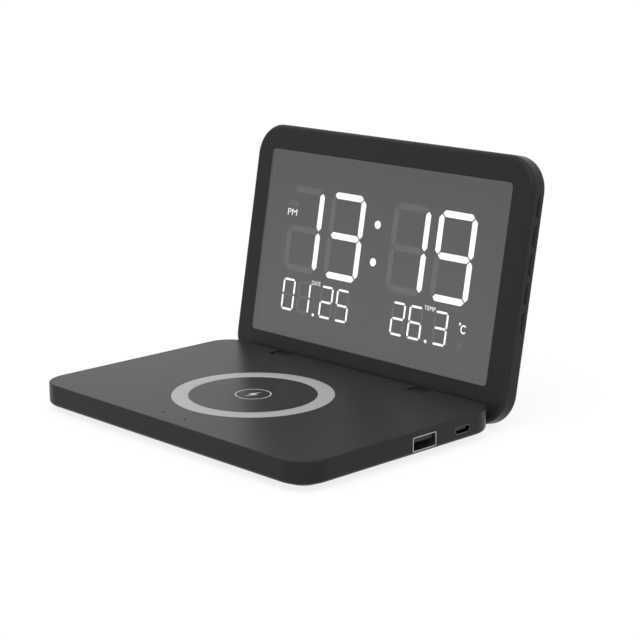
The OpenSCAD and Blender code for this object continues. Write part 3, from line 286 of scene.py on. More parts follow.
drawn, taken, given = new_group("drawn_lines", SURFACE_TAKES | {"Stretch": "Vector"}, SURFACE_GIVES)
pull = drawn.nodes.new("ShaderNodeVectorMath")
pull.operation = "MULTIPLY"
drawn.links.new(taken["Vector"], pull.inputs[0])
drawn.links.new(taken["Stretch"], pull.inputs[1])
lines = noise(drawn, pull.outputs[0], LINE_SCALE, LINE_DETAIL)
vary(drawn, lines, taken, given)
drawn.links.new(lines, given["Height"])
print(drawn.name, "has", len(drawn.nodes), "nodes")

# %% [markdown]
# A circuit board shows its copper paths as raised, lighter bands under the green solder mask. Drawing
# each path would be a lot of work for a piece that hides inside. The distance to the nearest of many
# scattered points, folded back and forth, gives bands with square turns that look much like them.

# %% Copper paths under a solder mask
PATH_PITCH = 0.09
PATH_EDGE_START, PATH_EDGE_END = 0.04, 0.05

paths, taken, given = new_group("board_paths", SURFACE_TAKES | {"Cells": "Float"}, SURFACE_GIVES)
cells = paths.nodes.new("ShaderNodeTexVoronoi")
cells.distance = "CHEBYCHEV"
cells.feature = "F1"
paths.links.new(taken["Vector"], cells.inputs["Vector"])
paths.links.new(taken["Cells"], cells.inputs["Scale"])
waves = paths.nodes.new("ShaderNodeMath")
waves.operation = "PINGPONG"
waves.inputs[1].default_value = PATH_PITCH
paths.links.new(cells.outputs["Distance"], waves.inputs[0])
edge = paths.nodes.new("ShaderNodeMapRange")
edge.interpolation_type = "SMOOTHSTEP"
edge.inputs["From Min"].default_value = PATH_EDGE_START
edge.inputs["From Max"].default_value = PATH_EDGE_END
paths.links.new(waves.outputs[0], edge.inputs["Value"])
vary(paths, edge.outputs[0], taken, given)
paths.links.new(edge.outputs[0], given["Height"])
print(paths.name, "has", len(paths.nodes), "nodes")

# %% [markdown]
# ## Finishes
# A finish is a Principled shader fed by one of the groups. Colours are given as the grey level that a
# picture would show, from 0 to 255, because that is how one reads them off a photo, and are turned into
# light levels. What is the same all over a surface is set on the shader itself. The first finish is the
# satin black of the covers, the bezel and the buttons.

# %% A helper that makes a finish, and the black of the case
FEEDS = ("Base Color", "Roughness", "Emission Color")

finishes = {}


def tone(*levels):
    """Light level, by the sRGB formula, of one picture level from 0 to 255 for a grey, or of three."""
    shares = [level / 255 for level in (levels * 3 if len(levels) == 1 else levels)]
    return [s / 12.92 if s < 0.04045 else ((s + 0.055) / 1.055) ** 2.4 for s in shares] + [1]


def finish(name, group, relief, **values):
    """Makes a material with a relief in mm; values go to the group's sockets, or else to the shader's."""
    material = bpy.data.materials.new(name + "_finish")
    material.use_nodes = True
    tree = material.node_tree
    shader = tree.nodes["Principled BSDF"]
    coordinates = tree.nodes.new("ShaderNodeTexCoord")
    effect = tree.nodes.new("ShaderNodeGroup")
    effect.node_tree = group
    tree.links.new(coordinates.outputs["Object"], effect.inputs["Vector"])
    for key, value in values.items():
        socket = key.replace("_", " ")
        owner = effect if socket in effect.inputs else shader
        owner.inputs[socket].default_value = value
    for socket in FEEDS:
        if socket in effect.outputs:
            tree.links.new(effect.outputs[socket], shader.inputs[socket])
    bump = tree.nodes.new("ShaderNodeBump")
    bump.inputs["Distance"].default_value = relief * MM
    tree.links.new(effect.outputs["Height"], bump.inputs["Height"])
    tree.links.new(bump.outputs["Normal"], shader.inputs["Normal"])
    finishes[name] = material


finish(
    "case_plastic", grain, 0.012, Colour=tone(45), Shade=tone(49), Grain=2600, Gloss=0.28, Matt=0.36,
    Specular_IOR_Level=0.12,
)
print("the case is black from", [round(level, 3) for level in tone(45)[:3]])

# %% [markdown]
# The ring and the feet are silicone rubber. It is moulded too, so it takes the same grain with a paler
# colour. The ring is smooth and shines a little, and the feet are dull.

# %% Rubber
finish("ring_rubber", grain, 0.02, Colour=tone(178), Shade=tone(172), Grain=2200, Gloss=0.42, Matt=0.52)
finish("foot_rubber", grain, 0.03, Colour=tone(176), Shade=tone(166), Grain=1800, Gloss=0.7, Matt=0.85)
print("made", ", ".join(name for name in finishes if "rubber" in name))

# %% [markdown]
# Screws, pins and the large socket's shell are plated steel, contacts are brass, and wires are copper.
# The small inlet's shell is a darker nickel grey, which is painted shade in the inlet's mouth. A metal's
# colour is in its reflections, so Metallic is 1. The hinge's arms are painted black, and paint isn't
# metal: it takes the grain of the mouldings.

# %% Metals
finish(
    "steel", drawn, 0.004, Colour=tone(205), Shade=tone(176), Stretch=(60, 2400, 2400), Gloss=0.22,
    Matt=0.38, Metallic=1,
)
# The darker grey of the small inlet's shell is painted shade in the inlet's mouth.
finish(
    "inlet_shell_painted_shade", drawn, 0.004, Colour=tone(108), Shade=tone(92), Stretch=(80, 2000, 2000), Gloss=0.3,
    Matt=0.42, Metallic=1,
)
finish(
    "brass", drawn, 0.003, Colour=tone(222, 186, 106), Shade=tone(196, 156, 80), Stretch=(90, 1800, 1800),
    Gloss=0.2, Matt=0.34, Metallic=1,
)
finish(
    "copper", drawn, 0.004, Colour=tone(204, 122, 78), Shade=tone(176, 92, 56), Stretch=(900, 900, 900),
    Gloss=0.25, Matt=0.4, Metallic=1,
)
finish(
    "hinge_metal", grain, 0.01, Colour=tone(24), Shade=tone(28), Grain=3000, Gloss=0.42, Matt=0.5,
    Specular_IOR_Level=0.15,
)
print("made", len(finishes), "finishes so far")

# %% [markdown]
# The other pieces inside are ordinary parts of a small charger and a clock: green boards, sintered
# ferrite, black, pale and white mouldings, lights that look dark while they are off, and sleeved wires.
# They hardly show, so a plain colour would do, but with a finish each the clock also looks right when
# someone takes the covers off in a drawing.

# %% Boards, ferrite and inner mouldings
finish(
    "circuit_board", paths, 0.03, Colour=tone(22, 92, 58), Shade=tone(38, 118, 74), Cells=120, Gloss=0.3,
    Matt=0.4,
)
finish(
    "ferrite", grain, 0.03, Colour=tone(58, 56, 56), Shade=tone(72, 70, 70), Grain=4000, Gloss=0.7,
    Matt=0.9,
)
finish("black_plastic", grain, 0.01, Colour=tone(26), Shade=tone(32), Grain=2000, Gloss=0.45, Matt=0.6)
# The tongue's paler grey is a painted highlight inside the small inlet.
finish("tongue_painted_highlight", grain, 0.01, Colour=tone(76), Shade=tone(70), Grain=2000, Gloss=0.4, Matt=0.5)
finish(
    "pale_plastic", grain, 0.01, Colour=tone(222, 216, 200), Shade=tone(212, 204, 186), Grain=1800,
    Gloss=0.4, Matt=0.55,
)
finish(
    "white_plastic", grain, 0.008, Colour=tone(238), Shade=tone(230), Grain=1800, Gloss=0.25,
    Matt=0.35,
)
finish(
    "clear_plastic", grain, 0.002, Colour=tone(30, 31, 33), Shade=tone(38, 39, 42), Grain=900, Gloss=0.12,
    Matt=0.2,
)
finish("wire_sleeve", grain, 0.012, Colour=tone(28), Shade=tone(36), Grain=1500, Gloss=0.5, Matt=0.62)
print("made", len(finishes), "finishes so far")

# %% [markdown]
# ## Display finishes
# The window is a smoked lens with a matt face over a dark film. Behind the film a board of small lamps
# shines through cut-out strokes. The lens lets through about a fifth of what is behind it. The film and
# the strokes that are off glow as well, though no lamp lights them: that glow is painted light, which
# makes the window read as an even grey and the strokes that are off as a slightly lighter grey. Those
# that are on read as white. A lamp could be put behind each stroke, but a glowing sheet on the film
# looks the same and costs nothing.

# %% Film and strokes
HAZE_SCALE, HAZE_DETAIL = 30, 2
WEAVE_SCALE, WEAVE_DETAIL = 6000, 1

film, taken, given = new_group(
    "lamp_and_painted_glow_film",
    {"Vector": "Vector", "Colour": "Color", "Shade": "Color"},
    {"Base Color": "Color", "Emission Color": "Color", "Height": "Float"},
)
haze = noise(film, taken["Vector"], HAZE_SCALE, HAZE_DETAIL)
glow_colour = blend_colours(film, haze, taken["Colour"], taken["Shade"])
film.links.new(glow_colour, given["Base Color"])
film.links.new(glow_colour, given["Emission Color"])
film.links.new(noise(film, taken["Vector"], WEAVE_SCALE, WEAVE_DETAIL), given["Height"])

# The film's glow is painted light: no lamp lights it.
finish(
    "smoke_film", film, 0.002, Colour=tone(40), Shade=tone(42), Roughness=0.7, Emission_Strength=1,
)
# The glow of the strokes that are off is painted light: their lamps are off.
finish(
    "stroke_off", film, 0.004, Colour=tone(112), Shade=tone(114), Roughness=0.7, Emission_Strength=1,
)
finish(
    "stroke_on", film, 0.004, Colour=tone(255), Shade=tone(250), Roughness=0.6, Emission_Strength=4.6,
)
print("the film glows at", [round(level, 3) for level in tone(40)[:3]])

# %% [markdown]
# The lens itself is smoked and a little hazy. It is given a glow, brighter at the foot of the window
# than at its head: painted light and shade on the window. A lamp shining up into the lens could do that,
# but it would need many samples. A glow that runs from one level to another with the height is steady
# and exports.

# %% Smoked lens
painted_lens_glow_group, taken, given = new_group(
    "smoked_lens_painted_glow",
    SURFACE_TAKES | {
        "Grain": "Float", "Low": "Float", "High": "Float", "Low Glow": "Color", "High Glow": "Color",
    },
    SURFACE_GIVES | {"Emission Color": "Color"},
)
vary(painted_lens_glow_group, noise(painted_lens_glow_group, taken["Vector"], DRIFT_SCALE, DRIFT_DETAIL), taken, given)
painted_lens_glow_group.links.new(noise(painted_lens_glow_group, taken["Vector"], taken["Grain"], GRAIN_DETAIL), given["Height"])
axes = painted_lens_glow_group.nodes.new("ShaderNodeSeparateXYZ")
painted_lens_glow_group.links.new(taken["Vector"], axes.inputs[0])
climb = painted_lens_glow_group.nodes.new("ShaderNodeMapRange")
painted_lens_glow_group.links.new(axes.outputs["Z"], climb.inputs["Value"])
painted_lens_glow_group.links.new(taken["Low"], climb.inputs["From Min"])
painted_lens_glow_group.links.new(taken["High"], climb.inputs["From Max"])
# The lens's glow runs from its foot to its head: painted light and shade.
painted_lens_glow = blend_colours(painted_lens_glow_group, climb.outputs["Result"], taken["Low Glow"], taken["High Glow"])
painted_lens_glow_group.links.new(painted_lens_glow, given["Emission Color"])

low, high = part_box("display_lens")
# Low_Glow and High_Glow are the lens's painted glow, lighter at its foot.
finish(
    "lens_plastic", painted_lens_glow_group, 0.0005, Colour=tone(95), Shade=tone(97), Grain=1500, Gloss=0.34, Matt=0.4,
    Low=low.z, High=high.z, Low_Glow=tone(81), High_Glow=tone(63), Alpha=0.55, Specular_IOR_Level=0.2,
    Emission_Strength=1,
)
print("the lens runs from", round(low.z / MM, 1), "to", round(high.z / MM, 1), "mm above the table")

# %% [markdown]
# ## Dressing the imported pieces
# The record names a material slot for each imported piece, and most finishes bear the slot's name, so one
# loop dresses them all. They could be listed by hand, but then a new piece would be forgotten. The small
# inlet is the exception: its shell is darker than the other steel, as painted shade in its mouth, and its
# tongue is paler than the other black plastic, as a painted highlight inside it.

# %% Every imported node gets its finish
# The small inlet's shell carries painted shade, and its tongue a painted highlight.
OWN_FINISH = {"usb_c_shell": "inlet_shell_painted_shade", "usb_c_tongue": "tongue_painted_highlight"}

for subpart in frame["record"]["subparts"]:
    name = subpart["node"]
    mesh = nodes[name].data
    mesh.materials.clear()
    mesh.materials.append(finishes[OWN_FINISH.get(name, subpart["material_slot"])])

# %% [markdown]
# ## New pieces
# The soft, lit and printed pieces are modelled here, each as a bmesh in millimetres. When its shape is
# done, it is carried to its place, its doubles are merged, its normals are turned outwards, and it rides
# on the body that it belongs to. That is the same for all of them, so one helper does it.

# %% A helper that finishes a piece
MERGE_REACH = 1e-7


def make_piece(name, bm, where, body, slot, own_finish=None, sharp=35):
    """Makes an object that rides on a body; edges bent by less than sharp degrees are shaded smooth."""
    bmesh.ops.transform(bm, matrix=where, verts=bm.verts[:])
    bmesh.ops.remove_doubles(bm, verts=bm.verts[:], dist=MERGE_REACH)
    bmesh.ops.recalc_face_normals(bm, faces=bm.faces[:])
    for face in bm.faces:
        face.smooth = True
    for edge in bm.edges:
        edge.smooth = len(edge.link_faces) == 2 and edge.calc_face_angle() < radians(sharp)
    mesh = bpy.data.meshes.new(name)
    bm.to_mesh(mesh)
    bm.free()
    mesh.materials.append(finishes[own_finish or slot])
    piece = bpy.data.objects.new(name, mesh)
    scene.collection.objects.link(piece)
    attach(piece, body)
    print(name, "has", len(mesh.polygons), "faces and rides on", body)
    return piece


print("points nearer than", MERGE_REACH, "m become one")

# %% [markdown]
# ## Soft ring
# The light ring on the base is a flat band of silicone pressed into a groove, with its upper edges
# slightly rounded. Its cross-section is drawn once and spun about the pad's middle. Spinning is better
# than cutting a cylinder, because the rounded edges come along for free.

# %% Helpers that draw, round and spin a line


def draw_line(bm, points, closed=False):
    """Draws edges through (radius, height) points, on the plane that a spin starts from."""
    corners = [bm.verts.new((radius, 0, height)) for radius, height in points]
    ends = corners[1:] + corners[:1] if closed else corners[1:]
    for first, second in zip(corners, ends):
        bm.edges.new((first, second))
    return corners


def round_corners(bm, corners, size, steps):
    """Rounds some corners of a drawn line."""
    bmesh.ops.bevel(
        bm, geom=corners, offset=size, offset_type="OFFSET", segments=steps, profile=0.5,
        affect="VERTICES", material=-1,
    )


def spin_round(bm, steps):
    """Spins all drawn lines once round the upright axis."""
    bmesh.ops.spin(
        bm, geom=bm.verts[:] + bm.edges[:], cent=(0, 0, 0), axis=(0, 0, 1), angle=2 * pi, steps=steps,
        use_merge=True,
    )


ring_low, ring_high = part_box("charging_ring")
pad_middle = Vector(((ring_low.x + ring_high.x) / 2, (ring_low.y + ring_high.y) / 2, 0))
print("the pad's middle is at", [round(part / MM, 2) for part in pad_middle.xy], "mm")

# %% Spin the ring
RING_BAND = 6.95
RING_EDGE = 0.12
RING_EDGE_STEPS = 3
RING_STEPS = 144

ring_outer = (ring_high.x - ring_low.x) / 2 / MM
ring_inner = ring_outer - RING_BAND
ring_height = (ring_high.z - ring_low.z) / MM
ring_bm = bmesh.new()
ring_corners = draw_line(
    ring_bm,
    [(ring_inner, 0), (ring_outer, 0), (ring_outer, ring_height), (ring_inner, ring_height)],
    closed=True,
)
upper_corners = ring_corners[2:]
round_corners(ring_bm, upper_corners, RING_EDGE, RING_EDGE_STEPS)
spin_round(ring_bm, RING_STEPS)
ring_place = Matrix.Translation(pad_middle + Vector((0, 0, ring_low.z))) @ TO_METRES
soft_ring = make_piece("soft_ring", ring_bm, ring_place, "base", "ring_rubber")
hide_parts("charging_ring")

# %% [markdown]
# ## Charging mark
# A thin printed mark in the ring's middle shows where the phone's coil belongs: a bolt in a circle.
# Print is a very thin layer of ink, so the shapes are drawn flat and pulled up by a few hundredths of a
# millimetre. A picture on the surface would do as well, but thin solid shapes keep their edge at any
# zoom.

# %% Helpers for flat shapes


def flat_ring(bm, radius, line, steps):
    """A flat ring with that outer radius."""
    sizes = (radius, radius - line)
    loops = [bmesh.ops.create_circle(bm, segments=steps, radius=size)["verts"] for size in sizes]
    edges = {edge for loop in loops for vert in loop for edge in vert.link_edges}
    bmesh.ops.bridge_loops(bm, edges=list(edges))


def verts_in(geometry):
    """The vertices among mixed geometry."""
    return [part for part in geometry if isinstance(part, bmesh.types.BMVert)]


def thicken(bm, faces, height):
    """Pulls flat faces up into plates, and returns their upper vertices."""
    made = bmesh.ops.extrude_face_region(bm, geom=faces, use_keep_orig=True)
    raised = verts_in(made["geom"])
    bmesh.ops.translate(bm, verts=raised, vec=(0, 0, height))
    return raised


base_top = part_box("base_top_cover")[1].z
print("the base's top is at", round(base_top / MM, 2), "mm")

# %% Print the mark
MARK_RADIUS = 7.5
MARK_LINE = 0.5
MARK_STEPS = 96
MARK_THICKNESS = 0.03
BOLT = [(0.5, 4.2), (-2.0, -0.7), (-0.2, -0.7), (-0.5, -4.2), (2.0, 0.7), (0.2, 0.7)]

finish("mark_ink", grain, 0.002, Colour=tone(205), Shade=tone(196), Grain=5000, Gloss=0.5, Matt=0.6)
mark_bm = bmesh.new()
flat_ring(mark_bm, MARK_RADIUS, MARK_LINE, MARK_STEPS)
mark_bm.faces.new([mark_bm.verts.new((x, y, 0)) for x, y in BOLT])
thicken(mark_bm, mark_bm.faces[:], MARK_THICKNESS)
mark_place = Matrix.Translation(pad_middle + Vector((0, 0, base_top))) @ TO_METRES
make_piece("charging_mark", mark_bm, mark_place, "base", "ring_rubber", "mark_ink")

# %% [markdown]
# ## Feet
# Each foot is a pad of soft rubber glued into a round recess. Its rim is rounded and its underside is
# hollowed, so that it grips like a suction cup. A cylinder could be bevelled and inset, but one drawn
# line, spun, gives both at once. The foot is then copied to the four corners.

# %% Spin the feet
FOOT_RADIUS = 7
FOOT_RIM = 0.6
FOOT_RIM_STEPS = 4
FOOT_STEPS = 48
HOLLOW_TOP_RADIUS = 3.4
HOLLOW_RADIUS = 3.9
HOLLOW_DEPTH = 0.35

low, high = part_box("rubber_feet")
foot_height = (high.z - low.z) / MM
feet_bm = bmesh.new()
foot_corners = draw_line(
    feet_bm,
    [
        (0, HOLLOW_DEPTH), (HOLLOW_TOP_RADIUS, HOLLOW_DEPTH), (HOLLOW_RADIUS, 0), (FOOT_RADIUS, 0),
        (FOOT_RADIUS, foot_height), (0, foot_height),
    ],
)
lower_rim = foot_corners[3]
round_corners(feet_bm, [lower_rim], FOOT_RIM, FOOT_RIM_STEPS)
spin_round(feet_bm, FOOT_STEPS)
foot = feet_bm.verts[:] + feet_bm.edges[:] + feet_bm.faces[:]
foot_places = [
    (x, y, 0)
    for x in (low.x / MM + FOOT_RADIUS, high.x / MM - FOOT_RADIUS)
    for y in (low.y / MM + FOOT_RADIUS, high.y / MM - FOOT_RADIUS)
]
feet = [foot] + [bmesh.ops.duplicate(feet_bm, geom=foot)["geom"] for _ in foot_places[1:]]
for geometry, corner in zip(feet, foot_places):
    bmesh.ops.translate(feet_bm, verts=verts_in(geometry), vec=corner)
feet_place = Matrix.Translation((0, 0, low.z)) @ TO_METRES
soft_feet = make_piece("soft_feet", feet_bm, feet_place, "base", "foot_rubber")
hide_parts("rubber_feet")

# %% [markdown]
# ## Edge buttons
# Five pill-shaped caps stand a little out of the screen's right edge. Each has a flange inside that
# keeps it from falling out. A pill could be joined from a box and two cylinders. A circle whose two
# halves are pulled apart needs no joining. It is pulled up to a cap, and the rim of the cap is bevelled,
# so it catches a thin line of light.

# %% Helpers for pills
X, Y = 0, 1
PILL_STEPS = 24
RIM_STEPS = 4
MIDDLE_WIDTH = 1e-6


def pull_apart(bm, verts, axis, distance):
    """Moves both halves of a shape away from its middle, along X or Y; points on the middle stay."""
    for side in (-1, 1):
        half = [vert for vert in verts if vert.co[axis] * side > MIDDLE_WIDTH]
        step = Vector((0, 0, 0))
        step[axis] = side * distance
        bmesh.ops.translate(bm, verts=half, vec=step)


def pill(bm, length, width, rise, lift, rim=0):
    """A pill-shaped plate along local X, from lift upwards, with its upper rim rounded."""
    verts = bmesh.ops.create_circle(bm, cap_ends=True, segments=PILL_STEPS, radius=width / 2)["verts"]
    pull_apart(bm, verts, X, (length - width) / 2)
    raised = thicken(bm, verts[0].link_faces[:], rise)
    bmesh.ops.translate(bm, verts=verts + raised, vec=(0, 0, lift))
    if rim:
        edges = [edge for edge in bm.edges if edge.verts[0] in raised and edge.verts[1] in raised]
        bmesh.ops.bevel(
            bm, geom=edges, offset=rim, offset_type="OFFSET", segments=RIM_STEPS, profile=0.5,
            affect="EDGES", material=-1,
        )


lean = screen_place.to_3x3().normalized()
upright = Matrix((lean.col[2], -lean.col[1], lean.col[0])).transposed().to_4x4()
print("a pill's length lies along", [round(part, 3) for part in upright.col[0].xyz])

# %% Shape the buttons
BUTTONS = 5
CAP_LENGTH, CAP_WIDTH, CAP_RISE = 8.1, 2.4, 2.55
FLANGE_LENGTH, FLANGE_WIDTH, FLANGE_RISE = 9.9, 1.8, 1.2
CAP_RIM = 0.3

for number in range(1, BUTTONS + 1):
    node = "side_button_%d" % number
    low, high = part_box(node)
    middle = Vector((low.x, (low.y + high.y) / 2, (low.z + high.z) / 2))
    button_bm = bmesh.new()
    pill(button_bm, FLANGE_LENGTH, FLANGE_WIDTH, FLANGE_RISE, 0)
    pill(button_bm, CAP_LENGTH, CAP_WIDTH, CAP_RISE, FLANGE_RISE, CAP_RIM)
    button_place = Matrix.Translation(middle) @ upright @ TO_METRES
    button = make_piece("button_cap_%d" % number, button_bm, button_place, node, "case_plastic")
    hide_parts(node)

# %% [markdown]
# ## Digits
# The digits are made of seven strokes, each a bar with pointed ends. A font could draw those that are
# on, but not those that are off, which show as a faint grey. So each digit is drawn twice, once with
# what is on and once with what is off. A stroke starts as a hexagon with six equal sides: narrowing it
# makes its points right-angled, and pulling its halves apart gives the length.

# %% Strokes of a digit
# Where each stroke's middle lies, in widths and half heights from the digit's middle.
STROKE_PLACES = {
    "a": (0, 1), "b": (0.5, 0.5), "c": (0.5, -0.5), "d": (0, -1), "e": (-0.5, -0.5), "f": (-0.5, 0.5),
    "g": (0, 0),
}
FIGURES = {
    "0": "abcdef", "1": "bc", "2": "abdeg", "3": "abcdg", "5": "acdfg", "6": "acdefg", "9": "abcdfg",
}
HEXAGON = 6
HEX_NARROW = 0.577
DOT_STEPS = 24


def stroke(bm, x, y, length, width, level):
    """A bar with pointed ends, upright or level, with its middle at x, y."""
    verts = bmesh.ops.create_circle(bm, cap_ends=True, segments=HEXAGON, radius=width)["verts"]
    bmesh.ops.scale(bm, verts=verts, vec=(HEX_NARROW, 1, 1))
    pull_apart(bm, verts, Y, length / 2 - width)
    if level:
        bmesh.ops.rotate(bm, verts=verts, cent=(0, 0, 0), matrix=Matrix.Rotation(radians(90), 3, "Z"))
    bmesh.ops.translate(bm, verts=verts, vec=(x, y, 0))


def digit(bm, names, x, y, size):
    """The named strokes of a digit with its middle at x, y."""
    wide, tall, width, gap = size
    for name in names:
        across, up = STROKE_PLACES[name]
        # The ends slant at 45 degrees, so a gap between two of them takes more of the length.
        length = (tall if across else wide) - gap * 2 ** 0.5
        stroke(bm, x + across * wide, y + up * tall, length, width, across == 0)


def dot(bm, x, y, radius):
    """A round dot."""
    verts = bmesh.ops.create_circle(bm, cap_ends=True, segments=DOT_STEPS, radius=radius)["verts"]
    bmesh.ops.translate(bm, verts=verts, vec=(x, y, 0))


print("drawn digits:", " ".join(FIGURES))

# %% [markdown]
# Three rows stand on the film: the time in large digits, and below it the date and the temperature in
# small ones. They are drawn flat in millimetres, from the middle of the screen's lower edge, and then
# turned up and carried to their depth behind the screen's face. The first digit of the hours is only
# ever a 1 or a 2, so it has no upper left stroke.

# %% Time, date and temperature
ON_DEPTH = 1.32
OFF_DEPTH = 1.34
SHEET = 0.04
# A size holds the width, the half height, the breadth of a stroke and the gap between two strokes.
BIG = (18, 17.45, 2.8, 0.6)
SMALL = (6.75, 6.65, 0.95, 0.4)
TENS_OF_HOURS = -45.25
ALL_STROKES, TENS_STROKES = "abcdefg", "abcdeg"
# A row holds its size, the height of its middle, a figure for each place, and dots with their radius.
ROWS = {
    "time": (
        BIG, 64.25, {TENS_OF_HOURS: "1", -19.9: "3", 17.6: "1", 42.95: "9"},
        [(-1.4, 72.15, 1.75), (-1.4, 56.05, 1.75)],
    ),
    "date": (SMALL, 34.6, {-50.2: "0", -40.35: "1", -26.25: "2", -16.4: "5"}, [(-33.3, 27.95, 0.7)]),
    "temperature": (SMALL, 34.6, {16.8: "2", 26.65: "6", 40.75: "3"}, [(33.7, 27.95, 0.7)]),
}


def on_display(depth):
    """Carries a flat drawing in millimetres to that depth behind the screen's face, right side up."""
    return (
        screen_place
        @ Matrix.Translation((0, depth * MM, 0))
        @ Matrix.Rotation(radians(90), 4, "X")
        @ TO_METRES
    )


for row, (size, height, figures, dots) in ROWS.items():
    on_bm, off_bm = bmesh.new(), bmesh.new()
    for x, figure in figures.items():
        fitted = TENS_STROKES if x == TENS_OF_HOURS else ALL_STROKES
        digit(on_bm, FIGURES[figure], x, height, size)
        digit(off_bm, [name for name in fitted if name not in FIGURES[figure]], x, height, size)
    for x, y, radius in dots:
        dot(on_bm, x, y, radius)
    for state, bm, depth in (("on", on_bm, ON_DEPTH), ("off", off_bm, OFF_DEPTH)):
        thicken(bm, bm.faces[:], SHEET)
        make_piece(row + "_" + state, bm, on_display(depth), "screen", "smoke_film", "stroke_" + state)

# %% [markdown]
# ## Border of the window
# The lens is glued to a ledge of the bezel, and the ledge and the shade in the window's pocket would
# show through it as a dark frame. On the real lens a band of grey ink on its back hides the ledge. Here a
# flat grey band covers them and glows like the film: that glow is painted light over the shade. A
# rectangle gets the lens's round corners and is inset, its middle is taken out, and what is left is
# pulled up by the band's thickness. The band lies just in front of the lens's rear face, so it is a
# little lighter than the film behind that face.

# %% Print the border
BORDER_BAND = 1.8
BORDER_CORNER = 1.83
BORDER_CORNER_STEPS = 6
BORDER_FROM_EDGE = 0.02
BORDER_THICKNESS = 0.03
BORDER_FROM_REAR = 0.01


def screen_box(node):
    """A node's lowest and highest corners in mm, from the middle of the screen's lower front edge."""
    to_screen = Matrix.Scale(1 / MM, 4) @ screen_place.inverted()
    points = [to_screen @ vert.co for vert in nodes[node].data.vertices]
    return [Vector([pick(point[axis] for point in points) for axis in range(3)]) for pick in (min, max)]


# The band's glow is painted light over the shade of the ledge and the window's pocket.
finish("border_painted_glow", film, 0.002, Colour=tone(62), Shade=tone(63), Roughness=0.7, Emission_Strength=1)
low, high = screen_box("display_lens")
lens_size = high - low
border_size = (lens_size.x - 2 * BORDER_FROM_EDGE, lens_size.z - 2 * BORDER_FROM_EDGE, 1)
border_bm = bmesh.new()
# A grid's size is half its side, so this is a square of side 1.
corners = bmesh.ops.create_grid(border_bm, x_segments=1, y_segments=1, size=0.5)["verts"]
bmesh.ops.scale(border_bm, verts=corners, vec=border_size)
bmesh.ops.translate(border_bm, verts=corners, vec=(0, (low.z + high.z) / 2, 0))
round_corners(border_bm, corners, BORDER_CORNER, BORDER_CORNER_STEPS)
middle_face = border_bm.faces[:][0]
bmesh.ops.inset_region(
    border_bm, faces=[middle_face], thickness=BORDER_BAND, use_boundary=True, use_even_offset=True,
)
bmesh.ops.delete(border_bm, geom=[middle_face], context="FACES")
thicken(border_bm, border_bm.faces[:], BORDER_THICKNESS)
border_place = on_display(lens_size.y - BORDER_FROM_REAR)
make_piece("window_border", border_bm, border_place, "screen", "smoke_film", "border_painted_glow")

# %% [markdown]
# ## Small words on the display
# Next to the digits the film has small cut-out words: which half of the day it is, the date, the
# temperature and its unit. Letters could be drawn by hand, but Blender's own font is close to them. It
# is made into a mesh and fitted to the box that the word fills on the film.

# %% A helper that fits a word
LETTER_STEPS = 4


def word(bm, text, weight, left, right, bottom, top):
    """Adds a word as flat faces that fill a box; a weight above zero makes its lines thicker."""
    letters = bpy.data.curves.new("letters", "FONT")
    letters.body = text
    letters.resolution_u = LETTER_STEPS
    letters.offset = weight
    holder = bpy.data.objects.new("letters", letters)
    flat = bpy.data.meshes.new_from_object(holder)
    before = set(bm.verts)
    bm.from_mesh(flat)
    verts = [vert for vert in bm.verts if vert not in before]
    xs, ys = [vert.co.x for vert in verts], [vert.co.y for vert in verts]
    fit = Vector(((right - left) / (max(xs) - min(xs)), (top - bottom) / (max(ys) - min(ys)), 1))
    bmesh.ops.translate(bm, verts=verts, vec=(-min(xs), -min(ys), 0))
    bmesh.ops.scale(bm, verts=verts, vec=fit)
    bmesh.ops.translate(bm, verts=verts, vec=(left, bottom, 0))
    bpy.data.objects.remove(holder)
    bpy.data.curves.remove(letters)
    bpy.data.meshes.remove(flat)


print("a letter's curves have", LETTER_STEPS, "steps")

# %% Fit the words
THIN, BOLD = -0.008, 0.016
# A word holds its weight and the left, right, bottom and top of its box.
WORDS_ON = {
    "PM": (THIN, -56.8, -51.0, 69.65, 72.55), "DATE": (THIN, -36.2, -30.8, 41.0, 42.8),
    "TEMP": (THIN, 30.8, 37.1, 40.95, 42.75), "C": (BOLD, 51.65, 54.3, 34.45, 38.15),
}
WORDS_OFF = {"AM": (BOLD, -56.8, -50.9, 73.55, 76.45), "F": (BOLD, 51.5, 53.95, 27.05, 30.75)}
DEGREE_ON, DEGREE_OFF = (51.1, 38.25, 0), (51.1, 30.95, 0)
DEGREE_RADIUS, DEGREE_LINE, DEGREE_STEPS = 0.6, 0.3, 20

for state, texts, degree, depth in (
    ("on", WORDS_ON, DEGREE_ON, ON_DEPTH), ("off", WORDS_OFF, DEGREE_OFF, OFF_DEPTH),
):
    words_bm = bmesh.new()
    flat_ring(words_bm, DEGREE_RADIUS, DEGREE_LINE, DEGREE_STEPS)
    bmesh.ops.translate(words_bm, verts=words_bm.verts[:], vec=degree)
    for text, weight_and_box in texts.items():
        word(words_bm, text, *weight_and_box)
    thicken(words_bm, words_bm.faces[:], SHEET)
    make_piece("words_" + state, words_bm, on_display(depth), "screen", "smoke_film", "stroke_" + state)

# %% [markdown]
# ## Wound coil
# The charging coil is one length of stranded wire in two flat layers. It spirals in on the lower layer,
# climbs where the spiral turns round, and spirals out on the upper one, so both its ends lie at the
# outer rim, beside the leads. Closed rings would be easier, but no current could run through them.

# %% Where the wire runs
TURNS = 9
CLIMB_TURNS = 0.5

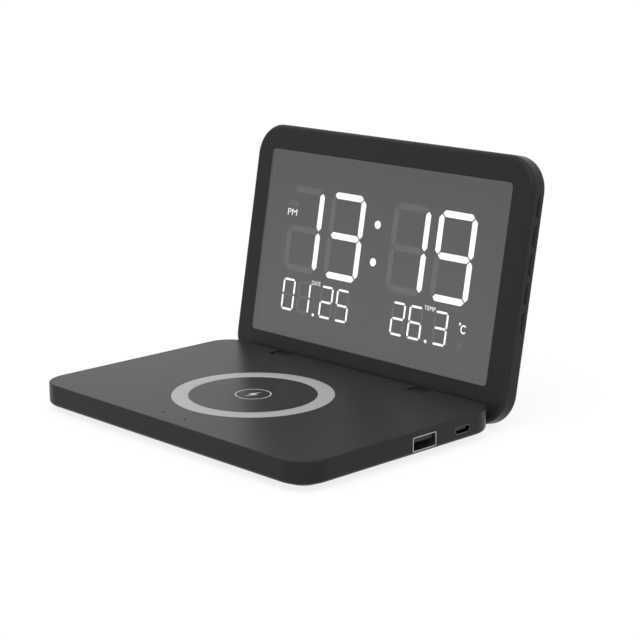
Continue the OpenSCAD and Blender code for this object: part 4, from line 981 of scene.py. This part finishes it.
low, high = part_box("charging_coil")
coil_middle = Vector(((low.x + high.x) / 2, (low.y + high.y) / 2, low.z))
coil_radii = [(vert.co.xy - coil_middle.xy).length / MM for vert in nodes["charging_coil"].data.vertices]
wire_width = (max(coil_radii) - min(coil_radii)) / (TURNS + 1)
wire_height = (high.z - low.z) / 2 / MM
leads_low, leads_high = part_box("coil_leads")
leads_angle = atan2((leads_low.y + leads_high.y) / 2 - coil_middle.y, leads_low.x - coil_middle.x)


def along_wire(turn):
    """Where the section is, that many turns after the wire's middle; before it, turns are below zero."""
    radius = min(coil_radii) + wire_width * (abs(turn) + 0.5)
    climbed = min(max(turn / CLIMB_TURNS + 0.5, 0), 1)
    return (
        Matrix.Rotation(leads_angle + 2 * pi * turn, 4, "Z")
        @ Matrix.Translation((radius, 0, wire_height * (climbed + 0.5)))
    )


print("the wire is", round(wire_width, 2), "mm wide and", round(wire_height, 2), "mm high")

# %% [markdown]
# The wire's oval section is extruded step by step, and each step carries it on to its next place along
# the spiral. A curve with a bevel would need its oval section as a second curve, and this needs none.

# %% Wind the coil
STEPS_IN_TURN = 72
WIRE_SIDES = 8
WIRE_FILL = 0.96
WIRE_SHARP = 60

coil_bm = bmesh.new()
section = bmesh.ops.create_circle(
    coil_bm, cap_ends=True, segments=WIRE_SIDES, radius=WIRE_FILL / 2,
)["verts"]
bmesh.ops.rotate(coil_bm, verts=section, cent=(0, 0, 0), matrix=Matrix.Rotation(radians(90), 3, "X"))
bmesh.ops.scale(coil_bm, verts=section, vec=(wire_width, 1, wire_height))
rim = coil_bm.edges[:]
last_step = TURNS * STEPS_IN_TURN - 1
stops = [step / STEPS_IN_TURN for step in range(-last_step, last_step + 1)]
bmesh.ops.transform(coil_bm, matrix=along_wire(stops[0]), verts=section)
for before, after in zip(stops, stops[1:]):
    made = bmesh.ops.extrude_edge_only(coil_bm, edges=rim)["geom"]
    section = verts_in(made)
    ends = set(section)
    rim = [part for part in made if isinstance(part, bmesh.types.BMEdge) and set(part.verts) <= ends]
    bmesh.ops.transform(coil_bm, matrix=along_wire(after) @ along_wire(before).inverted(), verts=section)
bmesh.ops.contextual_create(coil_bm, geom=rim)
coil_place = Matrix.Translation(coil_middle) @ TO_METRES
wound_coil = make_piece("wound_coil", coil_bm, coil_place, "base", "copper", sharp=WIRE_SHARP)
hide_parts("charging_coil")
